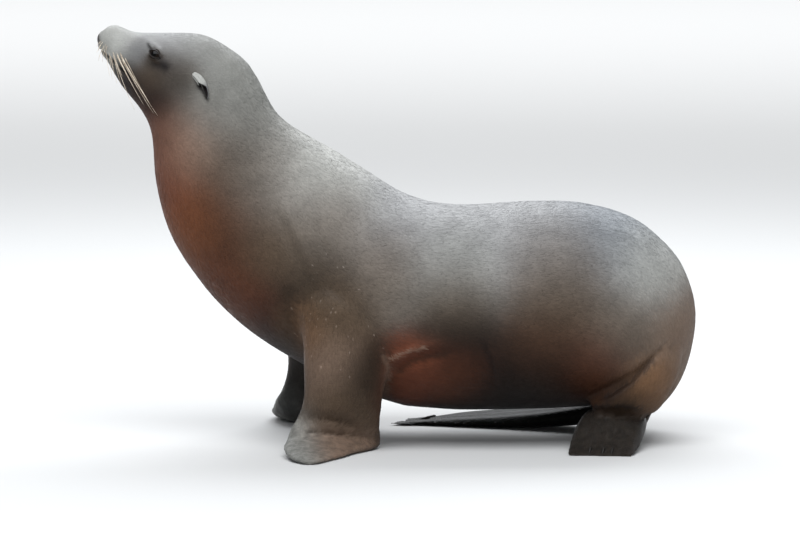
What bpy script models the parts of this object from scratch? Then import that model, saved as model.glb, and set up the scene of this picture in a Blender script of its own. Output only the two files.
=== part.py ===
"""A life-size sea lion, sitting up on its fore flippers with its snout raised.

Metres, +Z up. The snout points to -X and the animal's left side faces -Y.
One smooth body is lofted through hand-set stations from the snout to the root of the
tail and parted into head, neck, chest, belly and rump. The limbs, ears and tail are
lofts of their own, trimmed against the body.
"""

import bmesh
import bpy
import numpy as np
from mathutils import Vector

# ---- driving dimensions -------------------------------------------------------------

GAP = 0.0003  # clearance between neighbouring solids
RING_SIDES = 30  # points round the body
LIMB_SIDES = 16  # points round an arm or a leg
SMALL_SIDES = 10  # points round an ear or the tail
FOOT_SIDES = 30  # points round a hind foot, enough for five toes
BALL_SIDES = 13  # points round an eye or the nose
BALL_RINGS = 8

# Each station of the body is one slanted cross-section:
# back x, back z, belly x, belly z, half width, height of the widest place (0 low, 1 high),
# squareness of the upper half and of the lower half (2 is an ellipse).
STATIONS = [
    # muzzle and face
    (-0.5645, 0.757, -0.5650, 0.746, 0.010, 0.50, 2.0, 2.0),
    (-0.5560, 0.7785, -0.5600, 0.736, 0.023, 0.52, 2.0, 2.0),
    (-0.5350, 0.789, -0.5495, 0.721, 0.037, 0.47, 2.1, 2.1),
    (-0.5140, 0.782, -0.5350, 0.695, 0.045, 0.46, 2.2, 2.0),
    (-0.4920, 0.775, -0.5180, 0.668, 0.050, 0.50, 2.3, 2.0),
    (-0.4580, 0.774, -0.4990, 0.645, 0.061, 0.52, 2.3, 2.0),
    (-0.4140, 0.774, -0.4820, 0.622, 0.073, 0.52, 2.2, 2.0),
    (-0.3630, 0.769, -0.4710, 0.600, 0.083, 0.51, 2.1, 2.0),
    # back of the head and neck
    (-0.3160, 0.744, -0.4650, 0.577, 0.090, 0.50, 2.0, 2.0),
    (-0.2780, 0.712, -0.4630, 0.551, 0.096, 0.49, 2.0, 2.0),
    (-0.2500, 0.663, -0.4610, 0.509, 0.104, 0.48, 2.0, 2.0),
    (-0.2215, 0.617, -0.4530, 0.461, 0.116, 0.47, 2.0, 2.0),
    (-0.1740, 0.583, -0.4360, 0.402, 0.132, 0.46, 2.0, 2.0),
    (-0.1170, 0.551, -0.4040, 0.341, 0.150, 0.45, 2.0, 2.1),
    # chest, belly and loin
    (-0.0550, 0.512, -0.3520, 0.272, 0.167, 0.45, 2.0, 2.1),
    (0.0060, 0.474, -0.2800, 0.205, 0.180, 0.45, 2.0, 2.1),
    (0.0630, 0.454, -0.1850, 0.145, 0.190, 0.45, 2.0, 2.1),
    (0.1200, 0.448, -0.0800, 0.093, 0.198, 0.44, 2.0, 2.2),
    (0.1770, 0.450, 0.0150, 0.063, 0.204, 0.44, 2.0, 2.2),
    (0.2340, 0.454, 0.1105, 0.056, 0.207, 0.44, 2.0, 2.2),
    (0.2910, 0.455, 0.2060, 0.0565, 0.206, 0.44, 2.0, 2.2),
    (0.3480, 0.452, 0.2920, 0.0585, 0.199, 0.44, 2.0, 2.2),
    # rump, turning down to the root of the tail
    (0.4050, 0.440, 0.3580, 0.062, 0.189, 0.44, 2.0, 2.2),
    (0.4620, 0.415, 0.3980, 0.066, 0.176, 0.45, 2.0, 2.1),
    (0.5035, 0.381, 0.4250, 0.067, 0.160, 0.46, 2.0, 2.1),
    (0.5380, 0.341, 0.4440, 0.066, 0.141, 0.46, 2.0, 2.1),
    (0.5625, 0.283, 0.4590, 0.063, 0.120, 0.46, 2.0, 2.1),
    (0.5695, 0.232, 0.4690, 0.059, 0.100, 0.46, 2.0, 2.0),
    (0.5635, 0.180, 0.4765, 0.055, 0.080, 0.47, 2.0, 2.0),
    (0.5480, 0.126, 0.4820, 0.051, 0.058, 0.48, 2.0, 2.0),
    (0.5260, 0.087, 0.4850, 0.049, 0.036, 0.50, 2.0, 2.0),
    (0.5090, 0.067, 0.4900, 0.051, 0.016, 0.50, 2.0, 2.0),
]

# Where the body is parted, as stations, and the rings from one station to the next.
BODY_PARTS = {
    "head": (0, 9, 2),
    "neck": (9, 13, 2),
    "chest": (13, 18, 1),
    "belly": (18, 22, 1),
    "rump": (22, 31, 2),
}

# Soft swellings and hollows of the body, the same on both sides:
# centre x, y, z, radius, height.
SWELLINGS = [
    (-0.537, 0.036, 0.728, 0.018, 0.0050),  # whisker pad
    (-0.488, 0.050, 0.740, 0.016, -0.0025),  # hollow before the eye
    (-0.456, 0.052, 0.763, 0.014, 0.0030),  # brow
    (-0.430, 0.075, 0.700, 0.030, 0.0030),  # cheek
    (-0.100, 0.165, 0.290, 0.075, 0.0100),  # shoulder
    (0.440, 0.160, 0.160, 0.090, 0.0080),  # thigh
]

EYE_RADIUS = 0.0165
EYE_CENTRE = (-0.4540, 0.0495, 0.7330)
NOSE_CENTRE = (-0.5525, 0.0, 0.7605)
NOSE_RADII = (0.0160, 0.0190, 0.0185)

# Mouth line in the plane of symmetry, from in front of the lips to the corner, then down
# behind the jaw.
MOUTH_LINE = [
    (-0.590, 0.7530),
    (-0.560, 0.7405),
    (-0.535, 0.7225),
    (-0.511, 0.6990),
    (-0.490, 0.6800),
]
JAW_END = (-0.481, 0.6150)
JAW_FRONT = (-0.600, 0.6150)
JAW_HALF_WIDTH = 0.12

# Limb sections: front edge x, y, z, rear edge x, y, z, thickness. The left limbs are
# given with y outward, and mirrored onto -Y.
FORE_ARM = [
    (-0.178, 0.105, 0.345, -0.030, 0.105, 0.345, 0.080),
    (-0.190, 0.141, 0.285, -0.012, 0.138, 0.290, 0.108),
    (-0.181, 0.158, 0.230, -0.004, 0.152, 0.232, 0.112),
    (-0.1765, 0.170, 0.180, -0.009, 0.160, 0.182, 0.098),
    (-0.1755, 0.180, 0.138, -0.018, 0.166, 0.135, 0.084),
    (-0.1760, 0.186, 0.103, -0.026, 0.164, 0.094, 0.072),
    (-0.1860, 0.188, 0.068, -0.030, 0.150, 0.052, 0.064),
    (-0.1990, 0.197, 0.043, -0.031, 0.136, 0.015, 0.056),
    (-0.2070, 0.215, 0.024, -0.036, 0.158, 0.006, 0.038),
    (-0.2110, 0.237, 0.019, -0.062, 0.198, 0.006, 0.033),
    (-0.2100, 0.262, 0.015, -0.080, 0.226, 0.006, 0.028),
    (-0.2040, 0.294, 0.011, -0.097, 0.262, 0.005, 0.022),
    (-0.1930, 0.322, 0.008, -0.116, 0.294, 0.004, 0.017),
    (-0.1800, 0.340, 0.006, -0.134, 0.325, 0.004, 0.012),
    (-0.1690, 0.350, 0.005, -0.148, 0.346, 0.004, 0.008),
]
FORE_WRIST = 6.5  # section at which the arm ends and the flipper begins
# How far forward the right limb stands at its top, halfway down and at its tip.
FORE_RIGHT_SHIFT = (-0.031, -0.037, -0.018)

HIND_LEG = [
    (0.478, 0.085, 0.235, 0.542, 0.070, 0.215, 0.050),
    (0.440, 0.118, 0.176, 0.537, 0.078, 0.152, 0.088),
    (0.398, 0.130, 0.126, 0.517, 0.083, 0.104, 0.102),
    (0.366, 0.132, 0.094, 0.500, 0.083, 0.074, 0.088),
    (0.362, 0.124, 0.079, 0.484, 0.080, 0.062, 0.050),
]

# Foot sections of the left side: front edge, rear edge, thickness.
HIND_FOOT_LEFT = [
    (0.368, 0.066, 0.046, 0.474, 0.062, 0.036, 0.064),
    (0.348, 0.104, 0.050, 0.470, 0.108, 0.034, 0.062),
    (0.336, 0.140, 0.040, 0.464, 0.148, 0.024, 0.050),
    (0.328, 0.170, 0.025, 0.457, 0.180, 0.014, 0.036),
    (0.322, 0.194, 0.013, 0.450, 0.206, 0.008, 0.023),
    (0.320, 0.210, 0.007, 0.445, 0.224, 0.005, 0.013),
]
# The right foot is stretched forward under the belly; y is to the right here.
HIND_FOOT_RIGHT = [
    (0.455, 0.060, 0.040, 0.470, 0.140, 0.040, 0.055),
    (0.380, 0.068, 0.034, 0.390, 0.160, 0.036, 0.048),
    (0.290, 0.088, 0.020, 0.295, 0.190, 0.024, 0.038),
    (0.200, 0.110, 0.012, 0.205, 0.216, 0.016, 0.029),
    (0.115, 0.132, 0.008, 0.132, 0.230, 0.010, 0.021),
    (0.050, 0.150, 0.006, 0.085, 0.224, 0.0065, 0.011),
]
TOES = 5
TOE_LENGTHS = (0.92, 0.70, 0.66, 0.72, 1.00)  # from the outer toe to the inner one
TOE_RIDGE = 0.22  # how much a toe stands above the web, as a part of the thickness
WEB_LENGTH = 0.62  # how far the web between two toes reaches, as a part of a toe's flap
FLAP_STEPS = (0.0, 0.4, 0.75, 1.0)  # rings along the flaps beyond the toes
FLAP_THINNING = 0.75  # how much thinner a flap is at its end
CLAWED_TOES = (1, 2, 3)
CLAW_LENGTH = 0.018
CLAW_RADIUS = 0.0032
CLAW_SIDES = 6
CLAW_RINGS = ((-0.1, 0.55), (0.1, 1.0), (0.5, 0.9), (0.85, 0.5), (1.0, 0.2))  # place, thickness
CLAW_LIFT = 0.0006  # how far the claw's root stands above the toe
CLAW_DROOP = 0.0016  # how far its point bends down
TOE_REACH_LEFT = 0.027
TOE_REACH_RIGHT = 0.070

FRONT_WEIGHT = 0.25  # how much thicker a limb is at its front edge than in the middle

TAIL = [
    (0.468, 0.0, 0.100, 0.494, 0.0, 0.100, 0.060),
    (0.468, 0.0, 0.066, 0.494, 0.0, 0.066, 0.050),
    (0.466, 0.0, 0.042, 0.485, 0.0, 0.042, 0.040),
    (0.463, 0.0, 0.022, 0.475, 0.0, 0.022, 0.026),
    (0.461, 0.0, 0.014, 0.466, 0.0, 0.014, 0.012),
]

EAR = [
    (-0.3860, 0.0810, 0.7060, -0.3790, 0.0810, 0.7100, 0.0080),
    (-0.3810, 0.0880, 0.6950, -0.3700, 0.0880, 0.7000, 0.0090),
    (-0.3750, 0.0945, 0.6830, -0.3630, 0.0940, 0.6880, 0.0080),
    (-0.3690, 0.0975, 0.6720, -0.3600, 0.0970, 0.6760, 0.0060),
    (-0.3640, 0.0980, 0.6630, -0.3590, 0.0980, 0.6650, 0.0035),
]

FUR_BACK = (0.36, 0.33, 0.31)
FUR_CHEST = (0.33, 0.22, 0.16)
FUR_RUMP = (0.36, 0.31, 0.26)
FLIPPER_SKIN = (0.14, 0.13, 0.13)
FOOT_SKIN = (0.06, 0.06, 0.06)
NOSE_SKIN = (0.10, 0.09, 0.09)
EYE_GLOSS = (0.015, 0.010, 0.010)
CLAW_HORN = (0.10, 0.08, 0.07)


# ---- tools ----------------------------------------------------------------------------


def clear_scene():
    for obj in list(bpy.data.objects):
        bpy.data.objects.remove(obj)


def material(name, colour, roughness):
    made = bpy.data.materials.new(name)
    made.use_nodes = True
    made.diffuse_color = (*colour, 1.0)
    shader = made.node_tree.nodes["Principled BSDF"]
    shader.inputs["Base Color"].default_value = (*colour, 1.0)
    shader.inputs["Roughness"].default_value = roughness
    shader.inputs["Metallic"].default_value = 0.0
    return made


def smooth_curve(points):
    """A curve with even bending through rows of numbers; it is read at any row number."""
    rows = np.array(points, float)
    count = len(rows)
    system = np.eye(count)
    right = np.zeros_like(rows)
    for i in range(1, count - 1):
        system[i, i - 1 : i + 2] = (1, 4, 1)
        right[i] = 6 * (rows[i - 1] - 2 * rows[i] + rows[i + 1])
    bend = np.linalg.solve(system, right)

    def at(place):
        i = int(min(max(np.floor(place), 0), count - 2))
        u = place - i
        v = 1 - u
        line = v * rows[i] + u * rows[i + 1]
        return line + ((v**3 - v) * bend[i] + (u**3 - u) * bend[i + 1]) / 6

    return at


def mesh_object(name, points, faces, finish):
    mesh = bpy.data.meshes.new(name)
    mesh.from_pydata([tuple(p) for p in points], [], faces)
    shape = bmesh.new()
    shape.from_mesh(mesh)
    bmesh.ops.recalc_face_normals(shape, faces=shape.faces)
    shape.to_mesh(mesh)
    shape.free()
    mesh.shade_smooth()
    mesh.set_sharp_from_angle(angle=np.radians(50))
    mesh.materials.append(finish)
    obj = bpy.data.objects.new(name, mesh)
    bpy.context.collection.objects.link(obj)
    return obj


def loft(name, rings, finish):
    """A closed skin over rings of equal counts, with flat ends."""
    sides = len(rings[0])
    faces = [list(range(sides))]
    for ring in range(len(rings) - 1):
        for k in range(sides):
            after = (k + 1) % sides
            low, high = ring * sides, (ring + 1) * sides
            faces.append([low + k, low + after, high + after])
            faces.append([low + k, high + after, high + k])
    last = (len(rings) - 1) * sides
    faces.append([last + k for k in reversed(range(sides))])
    return mesh_object(name, np.concatenate(rings), faces, finish)


def helper(obj):
    obj.hide_render = True
    obj.display_type = "WIRE"
    return obj


def cutter(obj, name):
    """A copy of a solid, swollen by the clearance, which makes room for it in others."""
    shape = bmesh.new()
    shape.from_mesh(obj.data)
    shape.normal_update()
    for vertex in shape.verts:
        vertex.co += vertex.normal * GAP * 1.1
    mesh = obj.data.copy()
    mesh.name = name
    shape.to_mesh(mesh)
    shape.free()
    copy = bpy.data.objects.new(name, mesh)
    copy.location = obj.location
    bpy.context.collection.objects.link(copy)
    return helper(copy)


def boolean(obj, other, operation):
    step = obj.modifiers.new(operation.title() + "_" + other.name, "BOOLEAN")
    step.operation = operation
    step.solver = "EXACT"
    step.object = other


def swept(start, end, step):
    """Places from start to end, both included, about one step apart."""
    return np.linspace(start, end, int(round((end - start) / step)) + 1)


# ---- body -------------------------------------------------------------------------------


def rounded(angle, squareness):
    """Cosine of a superellipse: 2 gives a circle, more a squarer curve."""
    c = np.cos(angle)
    return np.sign(c) * np.abs(c) ** (2 / squareness)


def body_ring(place):
    """One slanted cross-section of the body at a station number."""
    back_x, back_z, belly_x, belly_z, half_width, widest, top_square, low_square = BODY(place)
    back = np.array([back_x, 0.0, back_z])
    belly = np.array([belly_x, 0.0, belly_z])
    height = np.linalg.norm(back - belly)
    upward = (back - belly) / height
    middle = belly + upward * height * widest
    points = []
    for k in range(RING_SIDES):
        angle = 2 * np.pi * k / RING_SIDES
        over = np.sin(angle) >= 0
        square = top_square if over else low_square
        reach = height * (1 - widest if over else widest)
        side = half_width * rounded(angle, square)
        rise = reach * rounded(angle - np.pi / 2, square)
        radial = np.array([0.0, side, 0.0]) + upward * rise
        point = middle + radial
        outward = radial / max(np.linalg.norm(radial), 1e-9)
        lift = 0.0
        for x, y, z, radius, amount in SWELLINGS:
            away = np.linalg.norm(np.array([point[0] - x, abs(point[1]) - y, point[2] - z]))
            lift += amount * np.exp(-((away / radius) ** 2))
        points.append(point + outward * lift)
    return np.array(points)


def gap_in_stations(place):
    """The clearance, as a step in station numbers."""
    before, after = BODY(place - 0.05), BODY(place + 0.05)
    step = (np.linalg.norm(after[:2] - before[:2]) + np.linalg.norm(after[2:4] - before[2:4])) / 2
    return 0.1 * GAP / step


def body_loft(name, parts, finish):
    """One skin over the named parts in a row, drawn back a little where they end."""
    places = np.unique(np.concatenate([swept(start, end, 1 / n) for start, end, n in parts]))
    if places[0] > 0:
        places[0] += gap_in_stations(places[0])
    if places[-1] < len(STATIONS) - 1:
        places[-1] -= gap_in_stations(places[-1])
    return loft(name, [body_ring(place) for place in places], finish)


def jaw_block(name, gap, finish):
    """The wedge below the mouth line, as wide as the head; gap widens it upward and back."""
    line = [(x + gap * 0.7, z + gap * 0.7) for x, z in MOUTH_LINE]
    outline = line + [(JAW_END[0] + gap * 1.4, JAW_END[1]), JAW_FRONT]
    count = len(outline)
    points = [(x, side * JAW_HALF_WIDTH, z) for side in (-1, 1) for x, z in outline]
    faces = [list(range(count)), list(reversed(range(count, 2 * count)))]
    for k in range(count):
        after = (k + 1) % count
        faces.append([k, after, count + after, count + k])
    return helper(mesh_object(name, points, faces, finish))


def ball(name, centre, radii, finish):
    mesh = bpy.data.meshes.new(name)
    shape = bmesh.new()
    bmesh.ops.create_uvsphere(shape, u_segments=BALL_SIDES, v_segments=BALL_RINGS, radius=1.0)
    bmesh.ops.scale(shape, verts=shape.verts, vec=radii)
    shape.to_mesh(mesh)
    shape.free()
    mesh.shade_smooth()
    mesh.materials.append(finish)
    obj = bpy.data.objects.new(name, mesh)
    obj.location = centre
    bpy.context.collection.objects.link(obj)
    return obj


# ---- limbs ------------------------------------------------------------------------------


def blade_ring(section, tangent, side, shift, count):
    """A cross-section of a limb: thick towards the front edge and thin at the rear edge."""
    front = np.array([section[0] + shift, section[1] * side, section[2]])
    rear = np.array([section[3] + shift, section[4] * side, section[5]])
    chord = (front - rear) / 2
    across = np.cross(chord, tangent)
    across /= np.linalg.norm(across)
    middle = (front + rear) / 2
    half = section[6] / 2
    points = []
    for k in range(count):
        angle = 2 * np.pi * k / count
        along = np.cos(angle)
        thick = half * np.sin(angle) * (1 + FRONT_WEIGHT * along)
        points.append(middle + chord * along + across * thick)
    return np.array(points)


def limb_rings(sections, start, end, side, shifts=(0.0, 0.0, 0.0), count=LIMB_SIDES, step=0.5):
    """Rings along a limb's sections; shifts move its top, its middle and its tip along X."""
    top, halfway, tip = shifts
    curve = smooth_curve(sections)
    last = len(sections) - 1
    rings = []
    for place in swept(start, end, step):
        ahead = curve(min(place + 0.2, last))
        behind = curve(max(place - 0.2, 0))
        tangent = (ahead[:3] + ahead[3:6] - behind[:3] - behind[3:6]) * np.array([1, side, 1])
        t = place / last
        shift = top * (1 - t) + tip * t + (2 * halfway - top - tip) * 2 * t * (1 - t)
        ring = blade_ring(curve(place), tangent, side, shift, count)
        ring[:, 2] = np.maximum(ring[:, 2], 0.0)
        rings.append(ring)
    return rings


def toe_at(across):
    """Which toe lies at this place across the foot, from -1 (rear) to 1 (front), and how far
    its ridge has risen there, from 0 in the web to 1 on top of the toe."""
    place = (across + 1) / 2 * TOES
    toe = min(int(place), TOES - 1)
    return toe, np.sin(np.pi * (place - toe)) ** 0.7


def foot_rings(sections, side, reach):
    """A hind foot: a widening blade with five ridged toes and their longer flaps."""
    curve = smooth_curve(sections)
    last = len(sections) - 1
    half_count = FOOT_SIDES // 2
    evenly = [1 - 2 * k / half_count for k in range(half_count)]
    across_foot = evenly + [-a for a in evenly]
    over = [1] * half_count + [-1] * half_count
    rings = []
    places = list(swept(0, last, 1)) + [last] * (len(FLAP_STEPS) - 1)
    for number, place in enumerate(places):
        ahead = curve(min(place + 0.2, last))
        behind = curve(max(place - 0.2, 0))
        tangent = (ahead[:3] + ahead[3:6] - behind[:3] - behind[3:6]) * np.array([1, side, 1])
        tangent /= np.linalg.norm(tangent)
        section = curve(place)
        front = np.array([section[0], section[1] * side, section[2]])
        rear = np.array([section[3], section[4] * side, section[5]])
        chord = (front - rear) / 2
        upward = np.cross(chord, tangent)
        upward *= np.sign(upward[2]) / np.linalg.norm(upward)
        beyond = FLAP_STEPS[max(0, number - len(places) + len(FLAP_STEPS))]
        thin = 1 - FLAP_THINNING * beyond
        ridge = TOE_RIDGE * min(place / last, 1.0)
        ring = []
        for u, up in zip(across_foot, over):
            toe, rise = toe_at(min(max(u, -0.999), 0.999))
            thick = section[6] / 2 * np.sqrt(1 - 0.94 * u * u) * (1 + ridge * (rise - 0.5))
            length = reach * beyond * TOE_LENGTHS[toe] * (WEB_LENGTH + (1 - WEB_LENGTH) * rise)
            middle = (front + rear) / 2 + chord * u
            sign = up if abs(u) < 1 else 0
            ring.append(middle + tangent * length + upward * thick * thin * sign)
        ring = np.array(ring)
        ring[:, 2] = np.maximum(ring[:, 2], 0.0)
        rings.append(ring)
    return rings


def claws(foot, rings, side_name):
    """Three small claws, each let into the top of its toe at the root of the flap."""
    base, before = rings[-4], rings[-5]
    half_count = FOOT_SIDES // 2
    for toe in CLAWED_TOES:
        place = (toe + 0.5) / TOES
        k = int(round((1 - place) * half_count))
        root = base[k]
        along = base[k] - before[k]
        along /= np.linalg.norm(along)
        across = base[k + 1] - base[k - 1]
        across /= np.linalg.norm(across)
        upward = np.cross(across, along)
        upward *= np.sign(upward[2])
        claw_rings = []
        for step, thick in CLAW_RINGS:
            lean = CLAW_LIFT - CLAW_DROOP * step * step
            middle = root + along * step * CLAW_LENGTH + upward * lean
            ring = []
            for j in range(CLAW_SIDES):
                angle = 2 * np.pi * j / CLAW_SIDES
                spoke = across * np.cos(angle) + upward * np.sin(angle)
                ring.append(middle + spoke * CLAW_RADIUS * thick)
            claw_rings.append(np.array(ring))
        claw = loft(f"claw_{side_name}_{toe + 1}", claw_rings, CLAW)
        boolean(foot, cutter(claw, f"claw_pocket_{side_name}_{toe + 1}"), "DIFFERENCE")


# ---- the animal ---------------------------------------------------------------------------

clear_scene()

BODY = smooth_curve(STATIONS)
FUR = material("fur_wet_grey", FUR_BACK, 0.4)
CHEST_FUR = material("fur_wet_reddish", FUR_CHEST, 0.45)
RUMP_FUR = material("fur_wet_tan", FUR_RUMP, 0.45)
FLIPPER = material("flipper_skin", FLIPPER_SKIN, 0.4)
FOOT = material("foot_skin", FOOT_SKIN, 0.3)
NOSE = material("nose_skin", NOSE_SKIN, 0.35)
EYE = material("eye", EYE_GLOSS, 0.05)
CLAW = material("claw_horn", CLAW_HORN, 0.35)

finishes = {"head": FUR, "neck": FUR, "chest": CHEST_FUR, "belly": FUR, "rump": RUMP_FUR}
body = {part: body_loft(part, [BODY_PARTS[part]], finish) for part, finish in finishes.items()}
whole_body = helper(body_loft("whole_body", BODY_PARTS.values(), FUR))
body_cutter = cutter(whole_body, "body_cutter")

# Head: the lower jaw is parted along the mouth line, the eyes and nose are let in.
lower_jaw = body_loft("lower_jaw", [BODY_PARTS["head"]], FUR)
boolean(lower_jaw, jaw_block("jaw_block", 0.0, FUR), "INTERSECT")
boolean(body["head"], jaw_block("jaw_cutter", GAP, FUR), "DIFFERENCE")

nose = ball("nose", NOSE_CENTRE, NOSE_RADII, NOSE)
boolean(body["head"], cutter(nose, "nose_pocket"), "DIFFERENCE")

for side, side_name in ((-1, "left"), (1, "right")):
    eye_place = (EYE_CENTRE[0], side * EYE_CENTRE[1], EYE_CENTRE[2])
    eye = ball("eye_" + side_name, eye_place, [EYE_RADIUS] * 3, EYE)
    boolean(body["head"], cutter(eye, "socket_" + side_name), "DIFFERENCE")

    ear_rings = limb_rings(EAR, 0, len(EAR) - 1, side, count=SMALL_SIDES)
    ear = loft("ear_" + side_name, ear_rings, FUR)
    boolean(ear, body_cutter, "DIFFERENCE")

    shifts = FORE_RIGHT_SHIFT if side > 0 else (0.0, 0.0, 0.0)
    last = len(FORE_ARM) - 1
    arm_rings = limb_rings(FORE_ARM, 0, FORE_WRIST - 0.004, side, shifts)
    arm = loft("fore_arm_" + side_name, arm_rings, FUR)
    boolean(arm, body_cutter, "DIFFERENCE")
    flipper_rings = limb_rings(FORE_ARM, FORE_WRIST + 0.004, last, side, shifts)
    loft("fore_flipper_" + side_name, flipper_rings, FLIPPER)

    leg = loft("hind_leg_" + side_name, limb_rings(HIND_LEG, 0, len(HIND_LEG) - 1, side), RUMP_FUR)
    boolean(leg, body_cutter, "DIFFERENCE")
    leg_cutter = cutter(leg, "leg_cutter_" + side_name)

    sections = HIND_FOOT_LEFT if side < 0 else HIND_FOOT_RIGHT
    reach = TOE_REACH_LEFT if side < 0 else TOE_REACH_RIGHT
    rings = foot_rings(sections, side, reach)
    foot = loft("hind_flipper_" + side_name, rings, FOOT)
    boolean(foot, leg_cutter, "DIFFERENCE")
    boolean(foot, body_cutter, "DIFFERENCE")
    claws(foot, rings, side_name)

tail_rings = limb_rings(TAIL, 0, len(TAIL) - 1, 1, count=SMALL_SIDES, step=1)
tail = loft("tail", tail_rings, RUMP_FUR)
boolean(tail, body_cutter, "DIFFERENCE")

# ---- set the origin under the middle of the whole animal --------------------------------

bpy.context.view_layer.update()
graph = bpy.context.evaluated_depsgraph_get()
corners = []
for obj in bpy.data.objects:
    if not obj.hide_render:
        solid = obj.evaluated_get(graph)
        corners += [solid.matrix_world @ vertex.co for vertex in solid.to_mesh().vertices]
lowest = Vector([min(corner[i] for corner in corners) for i in range(3)])
highest = Vector([max(corner[i] for corner in corners) for i in range(3)])
middle = (lowest + highest) / 2
for obj in bpy.data.objects:
    obj.location -= Vector((middle.x, middle.y, lowest.z))
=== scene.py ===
import math

import bmesh
import bpy
import numpy as np
from mathutils import Euler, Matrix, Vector
from mathutils.bvhtree import BVHTree


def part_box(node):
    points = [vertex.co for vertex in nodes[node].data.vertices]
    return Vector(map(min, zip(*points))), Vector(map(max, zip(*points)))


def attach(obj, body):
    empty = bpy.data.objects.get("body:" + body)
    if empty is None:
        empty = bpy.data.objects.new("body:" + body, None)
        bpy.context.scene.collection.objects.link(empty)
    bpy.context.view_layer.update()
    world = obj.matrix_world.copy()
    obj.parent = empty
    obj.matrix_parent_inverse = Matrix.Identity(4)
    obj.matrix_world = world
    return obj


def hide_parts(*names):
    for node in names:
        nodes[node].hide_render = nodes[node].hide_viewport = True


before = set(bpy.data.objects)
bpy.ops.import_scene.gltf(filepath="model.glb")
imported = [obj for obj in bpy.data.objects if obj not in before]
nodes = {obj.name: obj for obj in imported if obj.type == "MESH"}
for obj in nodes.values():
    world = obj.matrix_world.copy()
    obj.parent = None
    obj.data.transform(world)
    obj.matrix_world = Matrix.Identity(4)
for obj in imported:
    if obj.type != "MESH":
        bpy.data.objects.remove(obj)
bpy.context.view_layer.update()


# ------------------------------------------------------------------ skin: the body form
# One moulded skin over the whole animal, cast as a single shell so that no seam shows.
# It takes its form from the frame's flesh parts, which are smoothed, melted together and
# then lie inside them by the depth of the coat.
FLESH = ["head", "lower_jaw", "nose", "ear_left", "ear_right", "neck", "chest", "belly", "rump", "tail",
         "fore_arm_left", "fore_arm_right", "fore_flipper_left", "fore_flipper_right",
         "hind_leg_left", "hind_leg_right", "hind_flipper_left", "hind_flipper_right"]
CREASE = math.cos(math.radians(52))
SWELL = 0.0013
SHELL_GRAIN = 0.0040
BODY_COAT = 0.0022
FACE_COAT = 0.0012


def weld(mesh):
    """The points and triangles of a frame part, with doubled points joined."""
    work = bmesh.new()
    work.from_mesh(mesh)
    bmesh.ops.remove_doubles(work, verts=work.verts, dist=1e-5)
    bmesh.ops.triangulate(work, faces=work.faces)
    points = np.array([v.co for v in work.verts], float)
    triangles = np.array([[v.index for v in f.verts] for f in work.faces], int)
    work.free()
    return points, triangles


def face_normals(points, triangles):
    a, b, c = points[triangles[:, 0]], points[triangles[:, 1]], points[triangles[:, 2]]
    return np.cross(b - a, c - a)


def unit(vectors):
    return vectors / np.maximum(np.linalg.norm(vectors, axis=1, keepdims=True), 1e-12)


def point_normals(points, triangles):
    broad = face_normals(points, triangles)
    total = np.zeros_like(points)
    for corner in range(3):
        np.add.at(total, triangles[:, corner], broad)
    return unit(total)


def corner_normals(points, triangles):
    """A normal for each corner of each triangle, shared only across soft edges."""
    broad = face_normals(points, triangles)
    flat = unit(broad)
    owner = triangles.ravel()
    order = np.argsort(owner, kind="stable")
    first = np.searchsorted(owner[order], np.arange(len(points)))
    count = np.bincount(owner, minlength=len(points))
    face_of = order // 3
    own_face = np.repeat(np.arange(len(triangles)), 3)
    total = np.zeros((len(owner), 3))
    for step in range(count.max()):
        has = count[owner] > step
        other = face_of[np.minimum(first[owner] + step, len(face_of) - 1)]
        soft = has & (np.einsum("ij,ij->i", flat[own_face], flat[other]) > CREASE)
        total[soft] += broad[other[soft]]
    return unit(total).reshape(-1, 3, 3)


def finer(points, triangles, wanted):
    """Splits the wanted triangles in four, with each new point on the surface's own curve."""
    normals = corner_normals(points, triangles)
    starts = triangles[:, [0, 1, 2]].ravel()
    ends = triangles[:, [1, 2, 0]].ravel()
    low, high = np.minimum(starts, ends), np.maximum(starts, ends)
    _, edge, back = np.unique(low * len(points) + high, return_index=True, return_inverse=True)
    back = back.reshape(-1, 3)
    split = np.zeros(len(edge), bool)
    split[back[wanted].ravel()] = True
    along = points[ends] - points[starts]
    n_start = normals[:, [0, 1, 2]].reshape(-1, 3)
    n_end = normals[:, [1, 2, 0]].reshape(-1, 3)
    rise = (np.einsum("ij,ij->i", along, n_end)[:, None] * n_end
            - np.einsum("ij,ij->i", along, n_start)[:, None] * n_start) / 8
    size = np.linalg.norm(rise, axis=1)
    best = np.lexsort((size, back.ravel()))
    last = np.searchsorted(back.ravel()[best], np.arange(len(edge)), side="right") - 1
    rise = rise[best[last]]
    middle = (points[low[edge]] + points[high[edge]]) / 2 + rise
    number = np.full(len(edge), -1)
    number[split] = len(points) + np.arange(split.sum())
    points = np.vstack([points, middle[split]])
    a, b, c = triangles.T
    ab, bc, ca = number[back].T
    made = []
    kinds = (ab >= 0).astype(int) + 2 * (bc >= 0) + 4 * (ca >= 0)
    for kind in range(8):
        on = kinds == kind
        if not on.any():
            continue
        v = [a[on], b[on], c[on]]
        m = [ab[on], bc[on], ca[on]]
        if kind == 0:
            made.append(np.stack(v, 1))
        elif kind == 7:
            made += [np.stack(t, 1) for t in ((v[0], m[0], m[2]), (m[0], v[1], m[1]),
                                              (m[2], m[1], v[2]), (m[0], m[1], m[2]))]
        elif kind in (1, 2, 4):
            i = {1: 0, 2: 1, 4: 2}[kind]
            p, q, r, h = v[i], v[(i + 1) % 3], v[(i + 2) % 3], m[i]
            made += [np.stack((p, h, r), 1), np.stack((h, q, r), 1)]
        else:
            i = {6: 1, 5: 2, 3: 0}[kind]
            p, q, r = v[i], v[(i + 1) % 3], v[(i + 2) % 3]
            h, g = m[i], m[(i + 1) % 3]
            made += [np.stack((h, q, g), 1), np.stack((p, h, g), 1), np.stack((p, g, r), 1)]
    return points, np.vstack(made)


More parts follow.
